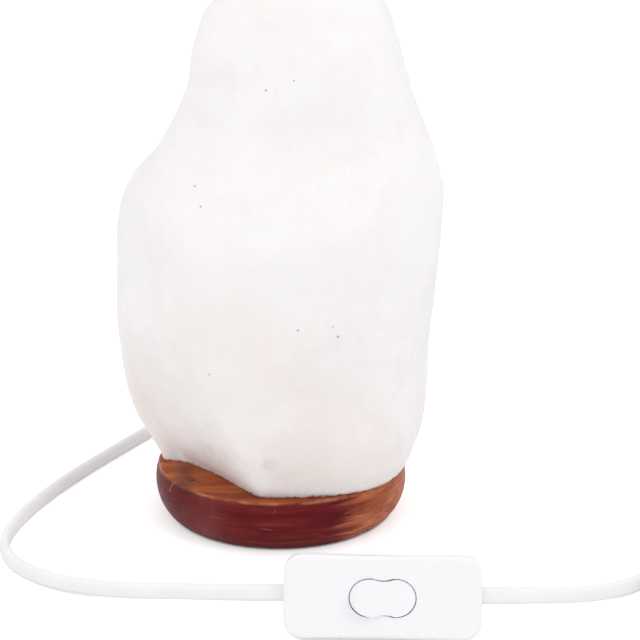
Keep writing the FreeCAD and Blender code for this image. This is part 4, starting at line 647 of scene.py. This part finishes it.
def outside_of(mesh):
    """Places and normals in millimetres, the outer face with the foot, and the outer face without it."""
    count = len(mesh.vertices)
    places, normals = np.empty(count * 3), np.empty(count * 3)
    mesh.vertices.foreach_get("co", places)
    mesh.vertices.foreach_get("normal", normals)
    places, normals = places.reshape(-1, 3) / MM, normals.reshape(-1, 3)
    reach = np.hypot(places[:, 0], places[:, 1])
    foot, roof = BASE_TOP / MM, BLOCK_LOW.z / MM + 100
    outer = (reach > BORE_RADIUS / MM + 3) | (places[:, 2] > roof)
    standing = outer & ((normals[:, 2] > -0.75) | (places[:, 2] > foot + 0.6))
    return places, normals, outer, standing


def cut_flat(places, outer, centre, facing, depth):
    """Pushes what stands proud of a plane back to it, with a slightly rounded ridge round the cut."""
    proud = (places - centre) @ facing + depth
    away = np.linalg.norm(places - centre, axis=1)
    near = outer & (proud > -4 * CUT_ROUNDING) & (away < CUT_REACH)
    push = CUT_ROUNDING * np.log1p(np.exp(np.minimum(proud[near] / CUT_ROUNDING, 60)))
    deepest = 1.6 * depth
    push = deepest * np.tanh(push / deepest)
    fade = np.clip((CUT_REACH - away[near]) / (0.5 * CUT_REACH), 0.0, 1.0)
    fade = fade * fade * (3 - 2 * fade) * np.clip((places[near, 2] - BASE_TOP / MM) / 9.0, 0.0, 1.0)
    places[near] -= (push * fade)[:, None] * facing


def break_corner(places, outer):
    """Takes the front left corner of the foot off along a plane that leans outwards."""
    facing = np.array((math.cos(BREAK_ANGLE), math.sin(BREAK_ANGLE)))
    limit = BREAK_REACH + (places[:, 2] - BASE_TOP / MM) * math.tan(BREAK_LEAN)
    proud = places[:, :2] @ facing - limit
    near = outer & (proud > -4 * BREAK_ROUNDING)
    push = BREAK_ROUNDING * np.log1p(np.exp(proud[near] / BREAK_ROUNDING))
    ahead = np.clip((-3.5 - places[near, 1]) / 8.0, 0.0, 1.0)
    places[near, :2] -= (push * ahead * ahead * (3 - 2 * ahead))[:, None] * facing


def turned_from(normal, turn, tilt):
    spin = Matrix.Rotation(math.radians(turn), 3, "Z")
    level = Vector((-normal[1], normal[0], 0.0)).normalized()
    return np.array(spin @ (Matrix.Rotation(-math.radians(tilt), 3, level) @ Vector(normal)))


def hew(mesh):
    """Cuts flats all round the block, those on the front where they are seen, then weathers the face."""
    places, normals, outer, standing = outside_of(mesh)
    candidates = np.nonzero(standing)[0]
    ahead = candidates[places[candidates, 1] < -5]
    cuts = []
    for x, z, turn, tilt, depth in FRONT_CUTS:
        nearest = ahead[np.argmin(np.hypot(places[ahead, 0] - x, places[ahead, 2] - z))]
        cuts.append((places[nearest].copy(), turned_from(normals[nearest], turn, tilt), depth))
    for number in range(OTHER_CUTS):
        chosen = candidates[rng.randrange(len(candidates))]
        around = candidates[np.linalg.norm(places[candidates] - places[chosen], axis=1) < 9]
        mean = normals[around].mean(axis=0)
        mean /= np.linalg.norm(mean)
        facing = turned_from(mean, rng.uniform(-7, 7), rng.uniform(-7, 7))
        cuts.append((places[chosen].copy(), facing, rng.uniform(0.35, 1.1)))
    break_corner(places, outer)
    for centre, facing, depth in cuts:
        cut_flat(places, outer, centre, facing, depth)
    foot = BASE_TOP / MM
    for index in candidates:
        place = Vector(places[index])
        ripple = 0.30 * noise.fractal(place / 10.0, 0.9, 2.1, 4) + 0.05 * noise.noise(place / 2.2)
        ragged = 1.8 * abs(noise.noise(place / 2.1)) * math.exp(-max(0.0, place.z - foot) / 1.3)
        places[index][:2] -= normals[index][:2] * (0.05 + ripple) + np.array(place.xy.normalized()) * ragged
    mesh.vertices.foreach_set("co", (places * MM).ravel())


def block_of_salt():
    """The block as a fine mesh of its CAD shape, hewn and weathered outside and left true inside."""
    source = NODES["salt_crystal"].data.copy()
    block = bpy.data.objects.new("crystal_block", source)
    bpy.context.scene.collection.objects.link(block)
    remesh = block.modifiers.new("fine", "REMESH")
    remesh.mode = "VOXEL"
    remesh.voxel_size = 1.0 * MM
    bpy.context.view_layer.update()
    mesh = bpy.data.meshes.new_from_object(block.evaluated_get(bpy.context.evaluated_depsgraph_get()))
    block.modifiers.clear()
    block.data = mesh
    mesh.materials.clear()
    mesh.materials.append(MATERIALS["salt"])
    hew(mesh)
    keep_in_box(mesh, BLOCK_LOW, BLOCK_HIGH)
    for polygon in mesh.polygons:
        polygon.use_smooth = True
    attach(block, "lamp")
    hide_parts("salt_crystal")
    return block


# (x, y, z, size) in millimetres of dark spots in the base: knotted wood, the last one painted shadow inside the
# chip in its foot
KNOTS_AND_SHADE = (
    (-31.0, -24.0, 20.0, 1.5),
    (-29.2, -25.6, 20.0, 1.1),
    (-32.6, -21.8, 20.0, 0.9),
    (18.0, 34.0, 20.0, 1.4),
    (-44.0, 12.0, 11.0, 1.2),
    # Painted shadow: darkens the inside of the chip in the foot of the base, where it is shaded.
    (30.6, -28.2, 1.0, 1.9),
)


def worn_base():
    """The turned base as a fine mesh of its CAD shape, with a knocked rim, knotted spots and painted shadow in the
    chip of its foot.
    """
    source = NODES["wooden_base"].data.copy()
    base = bpy.data.objects.new("worn_base", source)
    bpy.context.scene.collection.objects.link(base)
    remesh = base.modifiers.new("fine", "REMESH")
    remesh.mode = "VOXEL"
    remesh.voxel_size = 0.55 * MM
    bpy.context.view_layer.update()
    mesh = bpy.data.meshes.new_from_object(base.evaluated_get(bpy.context.evaluated_depsgraph_get()))
    base.modifiers.clear()
    base.data = mesh
    mesh.materials.clear()
    mesh.materials.append(MATERIALS["wood"])
    knot_and_shade = mesh.attributes.new("knot_and_shade", "FLOAT", "POINT")
    normals = [vertex.normal.copy() for vertex in mesh.vertices]
    for vertex, normal in zip(mesh.vertices, normals):
        place = vertex.co / MM
        reach = math.hypot(place.x, place.y)
        if reach > 37.0:
            rim = math.exp(-((place.z - 19.4) / 1.1) ** 2) * min(1.0, (reach - 37.0) / 4.0)
            dents = max(0.0, noise.noise(place / 5.0) - 0.12) * 1.1 + 0.12 * noise.noise(place / 1.6)
            tool_marks = 0.05 * math.sin(place.z * 2.6 + 1.3 * noise.noise(place / 14.0))
            sway = 0.10 * noise.noise(place / 11.0)
            vertex.co -= normal * (max(0.0, rim * dents) + 0.12 + tool_marks * 0.5 + sway) * MM
        for knot_x, knot_y, knot_z, size in KNOTS_AND_SHADE:
            gap = (place - Vector((knot_x, knot_y, knot_z))).length / size
            if gap < 2.0:
                knot_and_shade.data[vertex.index].value = max(knot_and_shade.data[vertex.index].value, max(0.0, 1.0 - gap / 1.5))
                vertex.co -= normal * 0.35 * MM * math.exp(-gap * gap)
    keep_in_box(mesh, BASE_LOW, BASE_HIGH)
    for polygon in mesh.polygons:
        polygon.use_smooth = True
    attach(base, "lamp")
    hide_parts("wooden_base")
    return base


def keep_in_box(mesh, low, high):
    for vertex in mesh.vertices:
        for axis in range(3):
            vertex.co[axis] = min(max(vertex.co[axis], low[axis]), high[axis])


block_of_salt()
worn_base()


# ================================================================ stage and light
def make_floor():
    size = 3.0
    mesh = bpy.data.meshes.new("floor")
    mesh.from_pydata([(-size, -size, 0), (size, -size, 0), (size, size, 0), (-size, size, 0)], [], [(0, 1, 2, 3)])
    floor = bpy.data.objects.new("floor", mesh)
    bpy.context.scene.collection.objects.link(floor)
    s = Shader("floor")
    tone = s.ramp(s.noise(3.0, 2.0), (0.3, (0.90, 0.90, 0.905)), (0.7, (0.92, 0.92, 0.92)))
    s.finish(colour=tone, roughness=0.9, specular=0.1)
    glow = s.nodes.new("ShaderNodeEmission")
    length = s.nodes.new("ShaderNodeVectorMath")
    length.operation = "LENGTH"
    s.join(s.place, length.inputs[0])
    # Seen by the camera the floor glows, less near the lamp as painted shade round it, and not at all under the
    # base as painted shadow there.
    away = s.between(length.outputs["Value"], 0.12, 0.45)
    clear = s.between(length.outputs["Value"], 0.0385, 0.0412)
    s.put(glow.inputs["Strength"],
          s.math("MULTIPLY", clear, s.math("ADD", s.math("MULTIPLY", away, 0.60), 0.40)))
    add = s.nodes.new("ShaderNodeAddShader")
    seen = s.nodes.new("ShaderNodeLightPath")
    only = s.nodes.new("ShaderNodeMixShader")
    out = s.nodes["Material Output"]
    s.join(s.surface.outputs[0], add.inputs[0])
    s.join(glow.outputs[0], add.inputs[1])
    s.join(seen.outputs["Is Camera Ray"], only.inputs[0])
    s.join(s.surface.outputs[0], only.inputs[1])
    s.join(add.outputs[0], only.inputs[2])
    s.join(only.outputs[0], out.inputs["Surface"])
    floor.data.materials.append(s.material)


def make_world():
    world = bpy.data.worlds.new("studio")
    bpy.context.scene.world = world
    world.use_nodes = True
    nodes, links = world.node_tree.nodes, world.node_tree.links
    light = nodes["Background"]
    light.inputs["Color"].default_value = (1.0, 1.0, 1.0, 1.0)
    light.inputs["Strength"].default_value = 0.88
    shown = nodes.new("ShaderNodeBackground")
    shown.inputs["Color"].default_value = (1.0, 1.0, 1.0, 1.0)
    shown.inputs["Strength"].default_value = 1.0
    seen = nodes.new("ShaderNodeLightPath")
    ray = nodes.new("ShaderNodeMath")
    ray.operation = "MAXIMUM"
    links.new(seen.outputs["Is Camera Ray"], ray.inputs[0])
    links.new(seen.outputs["Is Transmission Ray"], ray.inputs[1])
    mix = nodes.new("ShaderNodeMixShader")
    links.new(ray.outputs[0], mix.inputs[0])
    links.new(light.outputs[0], mix.inputs[1])
    links.new(shown.outputs[0], mix.inputs[2])
    links.new(mix.outputs[0], nodes["World Output"].inputs["Surface"])


def area_light(name, place, target, size, power):
    data = bpy.data.lights.new(name, "AREA")
    data.shape = "DISK"
    data.size = size
    data.energy = power
    lamp = bpy.data.objects.new(name, data)
    bpy.context.scene.collection.objects.link(lamp)
    lamp.location = place
    lamp.rotation_euler = (Vector(target) - Vector(place)).to_track_quat("-Z", "Y").to_euler()


make_floor()
make_world()
area_light("key", (0.68, -0.56, 0.92), (0.0, 0.0, 0.09), 0.6, 2.1)
area_light("fill", (-0.80, -0.50, 0.55), (0.0, 0.0, 0.08), 0.8, 1.0)
area_light("top", (0.0, 0.25, 1.15), (0.0, 0.0, 0.10), 0.9, 0.5)
bpy.context.scene.view_settings.view_transform = "Standard"
